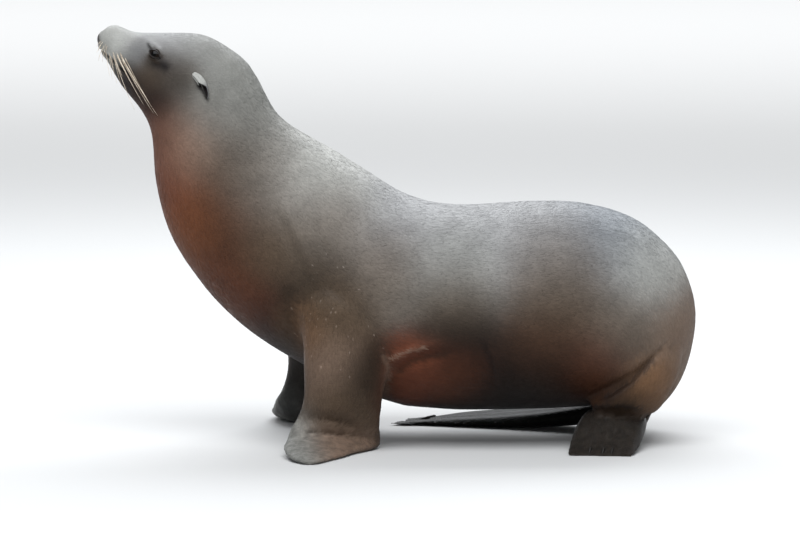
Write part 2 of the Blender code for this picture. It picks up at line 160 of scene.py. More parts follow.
def neighbours(triangles):
    pairs = np.vstack([triangles[:, [0, 1]], triangles[:, [1, 2]], triangles[:, [2, 0]]])
    many = triangles.max() + 1
    keys = np.unique(pairs.min(axis=1) * many + pairs.max(axis=1))
    pairs = np.stack([keys // many, keys % many], axis=1)
    return np.vstack([pairs, pairs[:, ::-1]])


def averaged(values, pairs, count):
    total = np.stack([np.bincount(pairs[:, 0], values[pairs[:, 1], k], count)
                      for k in range(values.shape[1])], 1)
    many = np.maximum(np.bincount(pairs[:, 0], minlength=count), 1)
    return total / many[:, None]


def spread(values, pairs, rounds):
    """A value on each point, softened over the surface."""
    flat = values.ndim == 1
    values = values.reshape(len(values), -1).astype(float)
    for _ in range(rounds):
        values = 0.5 * values + 0.5 * averaged(values, pairs, len(values))
    return values[:, 0] if flat else values


def relax(points, pairs, amount, rounds):
    """Smooths the surface without shrinking it: a step in, then a step out."""
    for _ in range(rounds):
        points = points + 0.60 * amount[:, None] * (averaged(points, pairs, len(points)) - points)
        points = points - 0.62 * amount[:, None] * (averaged(points, pairs, len(points)) - points)
    return points


def mesh_object(name, points, faces):
    mesh = bpy.data.meshes.new(name)
    mesh.from_pydata(points.tolist() if hasattr(points, "tolist") else points, [],
                     faces.tolist() if hasattr(faces, "tolist") else faces)
    mesh.update()
    piece = bpy.data.objects.new(name, mesh)
    bpy.context.scene.collection.objects.link(piece)
    return piece


def smoothstep(low, high, value):
    t = np.clip((value - low) / (high - low), 0, 1)
    return t * t * (3 - 2 * t)


all_points, all_triangles, start = [], [], 0
for name in [part for part in FLESH if not part.startswith("ear")] + ["eye_left", "eye_right"]:
    points, triangles = weld(nodes[name].data)
    for _ in range(3):
        points, triangles = finer(points, triangles, np.ones(len(triangles), bool))
    points = points + SWELL * point_normals(points, triangles)
    all_points.append(points)
    all_triangles.append(triangles + start)
    start += len(points)
melted = mesh_object("melted", np.vstack(all_points), np.vstack(all_triangles))


def remeshed(thing, grain):
    """The points and triangles of one closed shell over everything in the mesh."""
    thing.modifiers.clear()
    melt = thing.modifiers.new("melt", "REMESH")
    melt.mode = "VOXEL"
    melt.voxel_size = grain
    shell = thing.evaluated_get(bpy.context.evaluated_depsgraph_get()).to_mesh()
    shell.calc_loop_triangles()
    points = np.empty(len(shell.vertices) * 3, np.float32)
    shell.vertices.foreach_get("co", points)
    triangles = np.empty(len(shell.loop_triangles) * 3, np.int32)
    shell.loop_triangles.foreach_get("vertices", triangles)
    return points.reshape(-1, 3).astype(float), triangles.reshape(-1, 3).astype(int)


points, triangles = remeshed(melted, SHELL_GRAIN)

# which frame part each point of the skin belongs to
part_points, part_faces, part_names = [], [], []
for name in FLESH:
    base = len(part_points)
    part_points += [v.co.copy() for v in nodes[name].data.vertices]
    for corners in nodes[name].data.polygons:
        part_faces.append([base + i for i in corners.vertices])
        part_names.append(FLESH.index(name))
parts = BVHTree.FromPolygons(part_points, part_faces)


def part_of(points):
    found = np.empty(len(points), int)
    for i, point in enumerate(points):
        found[i] = part_names[parts.find_nearest(Vector(point))[2]]
    return found


def share(part, pairs, names, rounds):
    """How far a point lies in the named parts, from 0 to 1, soft at the borders."""
    on = np.isin(part, [FLESH.index(name) for name in names]).astype(float)
    return spread(on, pairs, rounds)


FLIPPERS = ["fore_flipper_left", "fore_flipper_right", "hind_flipper_left", "hind_flipper_right"]
FACE = ["head", "lower_jaw", "nose", "ear_left", "ear_right"]
part = part_of(points)
pairs = neighbours(triangles)
flipper = share(part, pairs, FLIPPERS, 6)
thin = share(part, pairs, FLIPPERS + ["tail"], 2)
face = share(part, pairs, FACE, 10)
points = relax(points, pairs, np.clip(1 - 0.75 * thin - 0.25 * face, 0.2, 1), 14)
depth = SWELL + (BODY_COAT * (1 - face) + FACE_COAT * face) * (1 - flipper)
points = points - depth[:, None] * point_normals(points, triangles)

# a finer skin where it carries folds: the head, the face and ears, the lids and nose
EYE = (Vector(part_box("eye_left")[0]) + Vector(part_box("eye_left")[1])) / 2
EYE_RADIUS = (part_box("eye_left")[1].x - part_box("eye_left")[0].x) / 2
NOSE_TIP = Vector((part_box("nose")[0].x, 0, (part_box("nose")[0].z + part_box("nose")[1].z) / 2))


def near(points, place, reach):
    """True within reach of a place on either side of the body."""
    left = np.linalg.norm(points - np.array(place), axis=1) < reach
    other = np.array([place[0], -place[1], place[2]])
    return left | (np.linalg.norm(points - other, axis=1) < reach)


for level in range(3):
    if level == 0:
        fine = share(part, pairs, FACE, 3) > 0.3
    elif level == 1:
        fine = (points[:, 0] < EYE.x + 0.045) & (points[:, 2] > 0.6)
        fine |= near(points, (-0.376, -0.09, 0.69), 0.035)
    else:
        fine = near(points, EYE + Vector((-0.003, -0.012, 0.005)), 0.022) | near(points, NOSE_TIP, 0.024)
    points, triangles = finer(points, triangles, fine[triangles].all(axis=1))
    part = part_of(points)
    pairs = neighbours(triangles)
    points = relax(points, pairs, 0.6 * share(part, pairs, FACE, 2), 3)
face = share(part, pairs, FACE, 20)
flipper = share(part, pairs, FLIPPERS, 10)


# ------------------------------------------------------------------ skin: folds
# The folds a living animal has: where the shoulder blade and the arm lift the hide, where
# the flank creases, over the thigh and at the wrist, and the mouth and lids in the face.
def line_distance(points, path):
    """How far each point is from a line of places, and how far along it the nearest place is."""
    path = np.array(path, float)
    lengths = np.linalg.norm(path[1:] - path[:-1], axis=1)
    before = np.concatenate([[0], np.cumsum(lengths)])
    best = np.full(len(points), 9.0)
    place = np.zeros(len(points))
    for i, length in enumerate(lengths):
        step = (path[i + 1] - path[i]) / length
        run = np.clip((points - path[i]) @ step, 0, length)
        gap = np.linalg.norm(points - path[i] - run[:, None] * step, axis=1)
        closer = gap < best
        best[closer] = gap[closer]
        place[closer] = (before[i] + run[closer]) / before[-1]
    return best, place


def fold(points, normals, path, width, height, sides=(1, -1), shift=(0, 0, 0), blunt=False):
    """Lifts a soft ridge along a line of places, or presses a groove where height is below 0.
    It fades towards both ends, and the animal's right side has its twin."""
    moved = points.copy()
    for side in sides:
        line = np.array(path, float) * (1, side, 1)
        if side < 0:
            line = line + np.array(shift)
        gap, place = line_distance(points, line)
        ends = np.ones(len(place)) if blunt else np.sin(np.pi * np.clip(place, 0.03, 0.97)) ** 0.6
        moved += (height * ends * np.exp(-(gap / width) ** 2))[:, None] * normals
    return moved


EVEN = (0, 0, 0)
RIGHT_ARM = (-0.030, 0.0, 0.0)
# each fold: its line on the left side, its width, its height, and how its twin is moved
FOLDS = [
    # shoulder blade: three long soft folds that fan out from the withers
    ([(-0.22, -0.138, 0.475), (-0.199, -0.154, 0.434), (-0.185, -0.164, 0.407), (-0.165, -0.177, 0.356),
      (-0.155, -0.185, 0.325)], 0.011, 0.0034, EVEN),
    ([(-0.232, -0.138, 0.46), (-0.212, -0.153, 0.42), (-0.196, -0.162, 0.38), (-0.182, -0.168, 0.345)],
     0.011, -0.003, EVEN),
    ([(-0.152, -0.152, 0.44), (-0.148, -0.155, 0.427), (-0.141, -0.166, 0.396), (-0.126, -0.18, 0.358)],
     0.008, -0.0026, EVEN),
    ([(0, -0.128, 0.42), (0.006, -0.134, 0.408), (0.02, -0.159, 0.374), (0.03, -0.175, 0.344)],
     0.009, 0.0026, EVEN),
    ([(-0.015, -0.13, 0.412), (-0.005, -0.15, 0.38), (0.006, -0.17, 0.345)], 0.01, -0.002, EVEN),
    # armpit: the web of skin from the arm to the flank, hollow under it
    ([(-0.03, -0.172, 0.13), (-0.021, -0.178, 0.154), (-0.008, -0.184, 0.174), (0.024, -0.194, 0.194),
      (0.061, -0.2, 0.204), (0.092, -0.202, 0.207)], 0.009, 0.0052, RIGHT_ARM),
    ([(-0.012, -0.17, 0.14), (0.012, -0.178, 0.165), (0.05, -0.19, 0.18), (0.09, -0.195, 0.186)],
     0.011, -0.006, RIGHT_ARM),
    # flank: short upright creases where the belly folds as it sits
    ([(0.158, -0.205, 0.212), (0.162, -0.204, 0.203), (0.168, -0.201, 0.184), (0.1745, -0.196, 0.17),
      (0.18, -0.184, 0.144), (0.184, -0.17, 0.125)], 0.0055, -0.0038, EVEN),
    ([(0.172, -0.203, 0.205), (0.181, -0.198, 0.18), (0.19, -0.185, 0.148)], 0.008, 0.0022, EVEN),
    ([(0.14, -0.2, 0.18), (0.147, -0.19, 0.15), (0.15, -0.172, 0.128)], 0.006, -0.0018, EVEN),
    # thigh: the deep crease over the shank
    ([(0.372, -0.135, 0.085), (0.388, -0.15, 0.097), (0.4, -0.154, 0.105), (0.416, -0.155, 0.118),
      (0.439, -0.158, 0.132), (0.452, -0.156, 0.146), (0.465, -0.151, 0.16), (0.484, -0.144, 0.176),
      (0.501, -0.134, 0.192), (0.512, -0.125, 0.206)], 0.005, -0.0046, EVEN),
    ([(0.38, -0.15, 0.112), (0.41, -0.16, 0.13), (0.44, -0.163, 0.152), (0.47, -0.152, 0.182)],
     0.012, 0.005, EVEN),
    # wrist: the fold where the hand turns out onto the ground
    ([(-0.172, -0.2, 0.061), (-0.165, -0.205, 0.062), (-0.137, -0.208, 0.064), (-0.105, -0.202, 0.057),
      (-0.081, -0.188, 0.046), (-0.066, -0.174, 0.03)], 0.006, -0.0016, RIGHT_ARM),
    ([(-0.16, -0.215, 0.046), (-0.125, -0.218, 0.046), (-0.092, -0.205, 0.036)], 0.013, 0.0036, RIGHT_ARM),
]
# the left hind foot, turned under: shallow grooves between its toes
TOES = [[(0.385, -0.15, 0.075), (0.362, -0.172, 0.045), (0.35, -0.19, 0.01)],
        [(0.402, -0.155, 0.075), (0.388, -0.176, 0.045), (0.382, -0.194, 0.01)],
        [(0.418, -0.155, 0.075), (0.41, -0.176, 0.045), (0.405, -0.194, 0.01)],
        [(0.434, -0.15, 0.075), (0.432, -0.172, 0.045), (0.428, -0.19, 0.01)]]
normals = point_normals(points, triangles)
for path in TOES:
    points = fold(points, normals, path, 0.0060, -0.0022, sides=(1,), blunt=True)
for path, width, height, shift in FOLDS:
    points = fold(points, normals, path, width, height, shift=shift)

# mouth: a thin groove from under the nose to below the eye, with fuller lips over and under it
MOUTH = [(-0.572, 0.0, 0.7455), (-0.560, -0.018, 0.7405), (-0.548, -0.034, 0.7325), (-0.535, -0.041, 0.7225),
         (-0.511, -0.046, 0.699), (-0.490, -0.050, 0.680)]


def press(points, normals, path, width, depth, sides=(1, -1)):
    """A narrow groove that keeps its depth to the ends."""
    return fold(points, normals, path, width, -depth, sides=sides, blunt=True)


def mouth_gap(points):
    """How far each point is from the mouth line, seen from the side, on either cheek."""
    return line_distance(points * (1, 0, 1), np.array(MOUTH) * (1, 0, 1))


normals = point_normals(points, triangles)
gap, place = mouth_gap(points)
depth = 0.0032 * smoothstep(1.0, 0.75, place) * np.exp(-(gap / 0.0017) ** 2)
lip = 0.0011 * smoothstep(1.0, 0.6, place) * np.exp(-((gap - 0.0048) / 0.0026) ** 2)
points = points + (lip - depth)[:, None] * normals

# nose: two slit nostrils and the groove under them
NOSTRIL = [(-0.566, -0.004, 0.768), (-0.566, -0.008, 0.763), (-0.563, -0.013, 0.757)]
points = press(points, normals, NOSTRIL, 0.0018, 0.0035)
points = press(points, normals, [(-0.568, 0, 0.760), (-0.568, 0, 0.748)], 0.0012, 0.0012, sides=(1,))

# lids: an almond opening over the eyeball, long from the front corner down to the back one
LOOK = np.array((-0.20, -0.90, 0.37))
LID_AXIS = np.array((0.78, -0.05, -0.62))
LID_LENGTH = 0.0116
LID_HEIGHT = 0.0056
LID_THICKNESS = 0.0009


def lid_measure(points, side):
    """How far each point is from the almond opening between one pair of lids: below 0 inside it."""
    centre = np.array(EYE) * (1, side, 1)
    look = unit((LOOK * (1, side, 1))[None])[0]
    axis = LID_AXIS * (1, side, 1)
    axis = unit((axis - look * (axis @ look))[None])[0]
    up = np.cross(axis, look)
    if up[2] < 0:
        up = -up
    gone = points - centre
    reach = np.linalg.norm(gone, axis=1)
    a = gone @ axis / reach * EYE_RADIUS
    b = gone @ up / reach * EYE_RADIUS
    height = np.where(b > 0, LID_HEIGHT, LID_HEIGHT * 0.8) * np.clip(1 - (a / LID_LENGTH) ** 2, 0, 1)
    outside = np.hypot(np.maximum(np.abs(a) - LID_LENGTH, 0), np.maximum(np.abs(b) - height, 0))
    outside = np.where(np.abs(b) < height, np.abs(b) - height, outside)
    arc = EYE_RADIUS * np.arccos(np.clip(gone @ look / reach, -1, 1))
    outside = np.where((reach < 0.045) & (gone @ look > 0), outside + 2.2 * np.maximum(arc - 0.0150, 0), 1.0)
    return outside, b, look, axis, up


def lids(points, side):
    """Opens the skin over one eyeball and rolls its edge into two lids."""
    outside, height, look, axis, up = lid_measure(points, side)
    here = outside < 0.9
    outside, height = outside[here], height[here]
    centre = np.array(EYE) * (1, side, 1)
    gone = points[here] - centre
    reach = np.linalg.norm(gone, axis=1)
    rim = EYE_RADIUS + LID_THICKNESS
    under = EYE_RADIUS - 0.0030
    held = under + (rim - under) * smoothstep(-0.0002, 0.0007, outside)
    free = smoothstep(0.0010, 0.0090, outside)
    # a crease over the upper lid and a soft pouch under the lower one
    crease = -0.0009 * np.exp(-((outside - 0.0042) / 0.0011) ** 2) * (height > 0)
    crease += -0.0007 * np.exp(-((outside - 0.0036) / 0.0010) ** 2) * (height < 0)
    wanted = held * (1 - free) + np.maximum(reach, under) * free + crease
    moved = points.copy()
    moved[here] = centre + gone / reach[:, None] * wanted[:, None]
    # the tear groove that runs from the front corner towards the nose
    corner = centre + (look * EYE_RADIUS - axis * LID_LENGTH)
    groove = [tuple(corner + look * 0.001), tuple(corner - axis * 0.003 + look * 0.0005),
              tuple(corner - axis * 0.006 + up * 0.001 - look * 0.001)]
    return fold(moved, point_normals(moved, triangles), groove, 0.0013, -0.0016, sides=(1,))


for side in (1, -1):
    points = lids(points, side)
points[:, 2] = np.maximum(points[:, 2], 0.0004)

# ------------------------------------------------------------------ skin: colour and finish
# A sleek, half-dry coat: silver-grey where it faces the sky, partly painted sheen, warm brown on
# the throat and chest, dark chocolate on the belly, partly painted shade. The flippers are bare,
# dark, finely creased leather.
def paint(red, green, blue):
    """A colour as a painter reads it off a card, from 0 to 255, made linear."""
    return np.array([((c / 255 + 0.055) / 1.055) ** 2.4 if c > 10 else c / 3300 for c in (red, green, blue)])


# the coat's few colours, from silver to the darkest brown; the pale greys partly stand for painted sheen and
# highlights, the darkest partly for painted shade
PAINTED_HIGHLIGHT_PEARL = paint(190, 190, 190)
SILVER = paint(165, 165, 160)
ASH = paint(145, 145, 145)
GREY = paint(130, 130, 125)
SLATE = paint(115, 120, 125)
PEWTER = paint(105, 105, 105)
SAND = paint(140, 120, 105)
FAWN = paint(120, 100, 85)
TAN = paint(115, 85, 60)
TAUPE = paint(100, 90, 80)
DRAB = paint(80, 65, 50)
UMBER = paint(60, 50, 40)
COPPER = paint(120, 70, 40)
RUST = paint(110, 60, 40)
RUSSET = paint(90, 50, 30)
CHESTNUT = paint(65, 40, 25)
COCOA = paint(40, 30, 20)
BURNT = paint(30, 15, 10)
SOOT = paint(20, 10, 5)
INK = paint(20, 15, 15)
LEATHER = paint(40, 35, 30)
# painted shade: the far hind flipper's leather, darker than the near one's
FAR_LEATHER_PAINTED_SHADE = paint(15, 15, 10)
NOSE_LEATHER = paint(60, 55, 55)

# each patch: its middle on the left side, how far it reaches, and its colour
# and chin, under the lid and behind the eye, between the arms, behind the arm, low on the flank, on the
# are partly painted sheen of the sky, and the hip's is a painted highlight; the dark patches under the jaw
# belly and at the far hind foot under the belly are partly painted shade
# the silver and grey patches on the muzzle, brow, crown, nape, withers, back, loin, croup and high flank
COAT_MARKINGS_AND_PAINTED_LIGHT = [
    ("muzzle", (-0.535, -0.035, 0.765), 0.04, SILVER),
    ("brow", (-0.44, -0.045, 0.77), 0.055, ASH),
    ("crown", (-0.37, -0.04, 0.765), 0.06, GREY),
    ("behind the eye", (-0.44, -0.072, 0.716), 0.02, COCOA),
    ("cheek", (-0.425, -0.08, 0.68), 0.04, COCOA),
    ("jowl", (-0.465, -0.06, 0.7), 0.022, DRAB),
    ("temple", (-0.405, -0.085, 0.705), 0.022, UMBER),
    ("under the lid", (-0.465, -0.06, 0.725), 0.01, COCOA),
    ("side of the nose", (-0.49, -0.05, 0.74), 0.014, PEWTER),
    ("jaw", (-0.46, -0.05, 0.65), 0.024, BURNT),
    ("under the ear", (-0.35, -0.095, 0.65), 0.05, GREY),
    ("chin", (-0.51, -0.03, 0.69), 0.03, BURNT),
    ("throat", (-0.45, -0.05, 0.58), 0.05, RUST),
    ("throat side", (-0.4, -0.08, 0.57), 0.05, SAND),
    ("fore neck", (-0.445, -0.045, 0.5), 0.055, RUST),
    ("nape", (-0.27, -0.06, 0.65), 0.06, GREY),
    ("neck side", (-0.31, -0.11, 0.56), 0.06, UMBER),
    ("neck low side", (-0.26, -0.12, 0.5), 0.06, TAUPE),
    ("breast", (-0.4, -0.07, 0.42), 0.06, COPPER),
    ("breast side", (-0.32, -0.12, 0.43), 0.055, CHESTNUT),
    ("breast low", (-0.33, -0.05, 0.29), 0.07, RUSSET),
    ("between the arms", (-0.2, -0.06, 0.19), 0.07, BURNT),
    ("withers", (-0.16, -0.08, 0.52), 0.08, SILVER),
    ("shoulder", (-0.14, -0.15, 0.43), 0.05, TAUPE),
    ("shoulder front", (-0.23, -0.14, 0.39), 0.045, DRAB),
    ("shoulder low", (-0.15, -0.18, 0.34), 0.04, UMBER),
    ("sleeve", (-0.12, -0.2, 0.27), 0.045, DRAB),
    ("sleeve front", (-0.18, -0.17, 0.23), 0.03, TAN),
    ("arm", (-0.13, -0.2, 0.17), 0.045, FAWN),
    ("arm back", (-0.06, -0.195, 0.15), 0.035, COCOA),
    ("wrist", (-0.11, -0.2, 0.09), 0.035, DRAB),
    ("hand", (-0.12, -0.22, 0.035), 0.035, FAWN),
    ("hand front", (-0.19, -0.25, 0.03), 0.035, GREY),
    ("back", (0.06, -0.07, 0.44), 0.09, ASH),
    ("loin", (0.25, -0.08, 0.43), 0.09, ASH),
    ("croup", (0.4, -0.07, 0.41), 0.08, SLATE),
    ("side behind the shoulder", (-0.02, -0.17, 0.34), 0.05, TAUPE),
    ("flank high", (0.1, -0.17, 0.35), 0.055, GREY),
    ("flank", (0.1, -0.205, 0.29), 0.045, DRAB),
    ("flank back", (0.3, -0.2, 0.29), 0.06, DRAB),
    ("flank back high", (0.3, -0.17, 0.35), 0.06, TAUPE),
    ("flank low", (0.11, -0.205, 0.225), 0.045, SOOT),
    ("flank low back", (0.28, -0.2, 0.2), 0.055, CHESTNUT),
    ("behind the armpit", (0.105, -0.185, 0.14), 0.04, RUSSET),
    ("armpit", (0.035, -0.19, 0.15), 0.042, RUST),
    ("belly", (0.18, -0.15, 0.12), 0.06, SOOT),
    ("belly back", (0.3, -0.13, 0.12), 0.055, SOOT),
    ("thigh", (0.37, -0.15, 0.16), 0.045, RUSSET),
    ("thigh high", (0.42, -0.16, 0.23), 0.055, TAUPE),
    ("hip", (0.48, -0.11, 0.34), 0.055, SILVER),
    ("rump", (0.53, -0.07, 0.22), 0.055, FAWN),
    ("shank", (0.475, -0.15, 0.125), 0.035, TAN),
    ("shank low", (0.42, -0.155, 0.1), 0.03, COCOA),
    ("hind foot", (0.38, -0.18, 0.03), 0.06, COCOA),
    ("far hind foot", (0.15, -0.17, 0.03), 0.08, SOOT),
]
MARKING_BLEND = 1.22
# painted shade along creases and hollows, round the eye and in the ear slit, and painted highlights on the
# brow ridge, the web of the armpit and the rim of the arm: their line on the left side, how wide, how strong,
# and their colour
PAINTED_SHADES_AND_HIGHLIGHTS = [
    ("tear corner", [(-0.463, -0.054, 0.7465), (-0.4672, -0.051, 0.751), (-0.47, -0.047, 0.755)],
     0.003, 0.88, INK),
    ("behind the eye", [(-0.454, -0.064, 0.722), (-0.444, -0.069, 0.72), (-0.437, -0.0725, 0.716)],
     0.0105, 0.94, INK),
    ("under the eye", [(-0.466, -0.06, 0.733), (-0.458, -0.064, 0.726), (-0.45, -0.068, 0.723)],
     0.0046, 0.7, COCOA),
    ("lid over the eye", [(-0.458, -0.056, 0.749), (-0.45, -0.061, 0.743), (-0.443, -0.065, 0.735)],
     0.004, 0.6, COCOA),
    ("brow ridge", [(-0.464, -0.056, 0.761), (-0.457, -0.059, 0.7575), (-0.447, -0.062, 0.75)],
     0.0034, 0.3, PAINTED_HIGHLIGHT_PEARL),
    ("ear slit", [(-0.3735, -0.096, 0.68), (-0.3655, -0.096, 0.671), (-0.3588, -0.093, 0.658)],
     0.0042, 0.92, INK),
    ("thigh crease", [(0.392, -0.15, 0.098), (0.416, -0.155, 0.114), (0.439, -0.158, 0.128),
                      (0.452, -0.156, 0.142), (0.465, -0.151, 0.156), (0.478, -0.146, 0.169)],
     0.0065, 0.62, INK),
    ("ankle", [(0.372, -0.136, 0.08), (0.401, -0.159, 0.083), (0.433, -0.159, 0.082), (0.456, -0.146, 0.078)],
     0.005, 0.7, INK),
    ("armpit", [(0, -0.176, 0.15), (0.028, -0.184, 0.172), (0.062, -0.192, 0.183), (0.09, -0.196, 0.188)],
     0.006, 0.5, COCOA),
    ("web of the armpit", [(-0.014, -0.18, 0.177), (0.004, -0.184, 0.186), (0.02, -0.19, 0.193),
                           (0.05, -0.196, 0.2)], 0.0036, 0.5, SAND),
    ("rim of the arm", [(-0.027, -0.18, 0.184), (-0.017, -0.185, 0.16), (-0.022, -0.19, 0.126),
                        (-0.026, -0.19, 0.085)], 0.005, 0.45, FAWN),
    ("arm back", [(-0.042, -0.19, 0.21), (-0.044, -0.195, 0.165), (-0.054, -0.195, 0.13)],
     0.014, 0.5, COCOA),
    ("flank crease", [(0.16, -0.204, 0.208), (0.168, -0.201, 0.184), (0.1745, -0.196, 0.17),
                      (0.18, -0.184, 0.144)], 0.0065, 0.36, INK),
    ("wrist", [(-0.18, -0.205, 0.078), (-0.145, -0.208, 0.08), (-0.112, -0.202, 0.074),
               (-0.085, -0.188, 0.06)],
     0.01, 0.4, COCOA),
    ("chest before the arm", [(-0.205, -0.12, 0.3), (-0.207, -0.12, 0.25), (-0.206, -0.12, 0.2)],
     0.02, 0.55, COCOA),
]


def coat_colour(points, normals):
    """The animal's markings, with painted sheen on the tops and painted shade underneath, at any place on it,
    the same on skin and coat.
    """
    folded = points * (1, 0, 1)
    folded[:, 1] = -np.abs(points[:, 1])
    weight = np.zeros(len(points))
    colour = np.zeros((len(points), 3))
    for _, middle, reach, shade in COAT_MARKINGS_AND_PAINTED_LIGHT:
        gap = (folded - np.array(middle)) * (1, 0.55, 1)
        strength = np.exp(-(np.linalg.norm(gap, axis=1) / (MARKING_BLEND * reach)) ** 2) / reach
        strength += 1e-6 / (0.01 + np.linalg.norm(gap, axis=1)) ** 2
        weight += strength
        colour += strength[:, None] * shade
    colour /= weight[:, None]
    # painted light and shade: tops a little lighter and undersides much darker, by which way they face
    painted_light_by_facing = 1 + 0.10 * np.clip(normals[:, 2], 0, 1) - 0.38 * np.clip(-normals[:, 2], 0, 1)
    return colour * painted_light_by_facing[:, None]


def soft_colour(points, normals, flipper, pad, lips, rims, inner):
    """Markings and painted light, with the bare leather of the flippers, the nose, the lips and the lids;
    painted shade in creases, on the far hind flipper and the low inner sides of the fore limbs, and painted
    highlights on a few ridges.
    """
    colour = coat_colour(points, normals)
    # painted shade along the creases and hollows, and painted highlights on a few ridges
    for _, path, width, strength, shade in PAINTED_SHADES_AND_HIGHLIGHTS:
        gap, _ = line_distance(points * (1, 0, 1), np.array(path) * (1, 0, 1))
        outer = smoothstep(0.45, 0.75, np.abs(points[:, 1]) / abs(path[0][1]))
        colour += (shade - colour) * (strength * outer * np.exp(-(gap / width) ** 2))[:, None]
    hand = (points[:, 0] < 0)[:, None]
    # painted shade: the far hind flipper takes a darker leather than the near one
    leather = np.where(hand, colour * 0.92, np.where(points[:, 1:2] > 0, FAR_LEATHER_PAINTED_SHADE, LEATHER))
    colour = colour + (leather - colour) * flipper[:, None]
    colour = colour + (NOSE_LEATHER - colour) * pad[:, None]
    # the lips darker; painted shade on the low inner sides of the fore limbs
    colour = colour * (1 - 0.72 * lips[:, None]) * (1 - 0.80 * inner[:, None])
    return colour + (INK - colour) * rims[:, None]


normals = point_normals(points, triangles)
pad = np.exp(-(np.linalg.norm((points - np.array(NOSE_TIP)) * (1.4, 0.8, 1), axis=1) / 0.015) ** 4)
gap, place = mouth_gap(points)
lips = np.exp(-(gap / 0.0024) ** 2) * smoothstep(1.0, 0.8, place)
eye_rim = np.zeros(len(points))
for side in (1, -1):
    outside, height = lid_measure(points, side)[:2]
    reach = np.where(height > 0, 0.0026, 0.0019)
    eye_rim = np.maximum(eye_rim, np.exp(-(np.maximum(outside - 0.0002, 0) / reach) ** 2))
# painted shade: the low inner sides of the fore limbs, which face the body, are painted nearly black
limb = share(part, pairs, ["fore_arm_left", "fore_arm_right", "fore_flipper_left", "fore_flipper_right"], 12)
inwards = -normals[:, 1] * np.sign(points[:, 1])
inner = limb * smoothstep(0.10, 0.75, inwards) * smoothstep(0.30, 0.20, points[:, 2])
colours = soft_colour(points, normals, flipper, pad, lips, 0.92 * eye_rim, inner)

# the lie of the coat: from the nose back along the spine, and down each limb
def middle_of(name):
    return (np.array(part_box(name)[0]) + np.array(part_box(name)[1])) / 2


SPINE = [np.array((NOSE_TIP.x, 0, NOSE_TIP.z))] + [middle_of(name) for name in
                                                   ("head", "neck", "chest", "belly", "rump", "tail")]
ARM = ["fore_arm_left", "fore_arm_right"]
LEG = ["hind_leg_left", "hind_leg_right"]


def limb_line(upper, lower, outwards):
    low, high = (np.array(corner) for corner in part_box(upper))
    end_low, end_high = (np.array(corner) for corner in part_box(lower))
    top = np.array(((low[0] + high[0]) / 2 + 0.02, (low[1] + high[1]) / 2, high[2] + 0.05))
    wrist = np.array(((low[0] + high[0]) / 2, (low[1] + high[1]) / 2, low[2]))
    tip = (end_low + end_high) / 2
    tip[1] = end_low[1] if outwards < 0 else end_high[1]
    return [top, wrist, tip]


def lie_from(path, points):
    """The direction of the nearest stretch of a guide line, for each point."""
    path = np.array(path, float)
    lengths = np.linalg.norm(path[1:] - path[:-1], axis=1)
    way = unit(path[1:] - path[:-1])
    _, place = line_distance(points, path)
    marks = (np.concatenate([[0], np.cumsum(lengths)[:-1]]) + lengths / 2) / lengths.sum()
    return np.stack([np.interp(place, marks, way[:, k]) for k in range(3)], 1), place * lengths.sum()


lie, run = lie_from(SPINE, points)
for limbs, outer in ((ARM, ["fore_flipper_left", "fore_flipper_right"]),
                     (LEG, ["hind_flipper_left", "hind_flipper_right"])):
    for limb, end, side in ((limbs[0], outer[0], -1), (limbs[1], outer[1], 1)):
        limb_lie = lie_from(limb_line(limb, end, side), points)[0]
        mask = share(part, pairs, [limb, end], 4)[:, None]
        lie = lie * (1 - mask) + limb_lie * mask
lie[:, 2] -= 0.25 * share(part, pairs, ["chest", "belly", "rump", "neck"], 4) * np.abs(normals[:, 1])
lie = spread(lie, pairs, 25)
lie = unit(lie - normals * np.einsum("ij,ij->i", lie, normals)[:, None])

skin = mesh_object("skin", points, triangles)
skin.data.shade_smooth()


def paint_points(piece, name, colours):
    layer = piece.data.color_attributes.new(name, "FLOAT_COLOR", "POINT")
    solid = np.hstack([colours, np.ones((len(colours), 1))])
    layer.data.foreach_set("color", solid.astype(np.float32).ravel())


def mark_points(piece, name, values):
    layer = piece.data.attributes.new(name, "FLOAT", "POINT")
    layer.data.foreach_set("value", values.astype(np.float32))


paint_points(skin, "coat_tone", colours)
mark_points(skin, "bare", np.clip(flipper + pad, 0, 1))
wet_streak = skin.data.attributes.new("lie_run", "FLOAT_VECTOR", "POINT")
across = np.stack([run * 0.16, points[:, 1], points[:, 2]], 1)
wet_streak.data.foreach_set("vector", across.astype(np.float32).ravel())


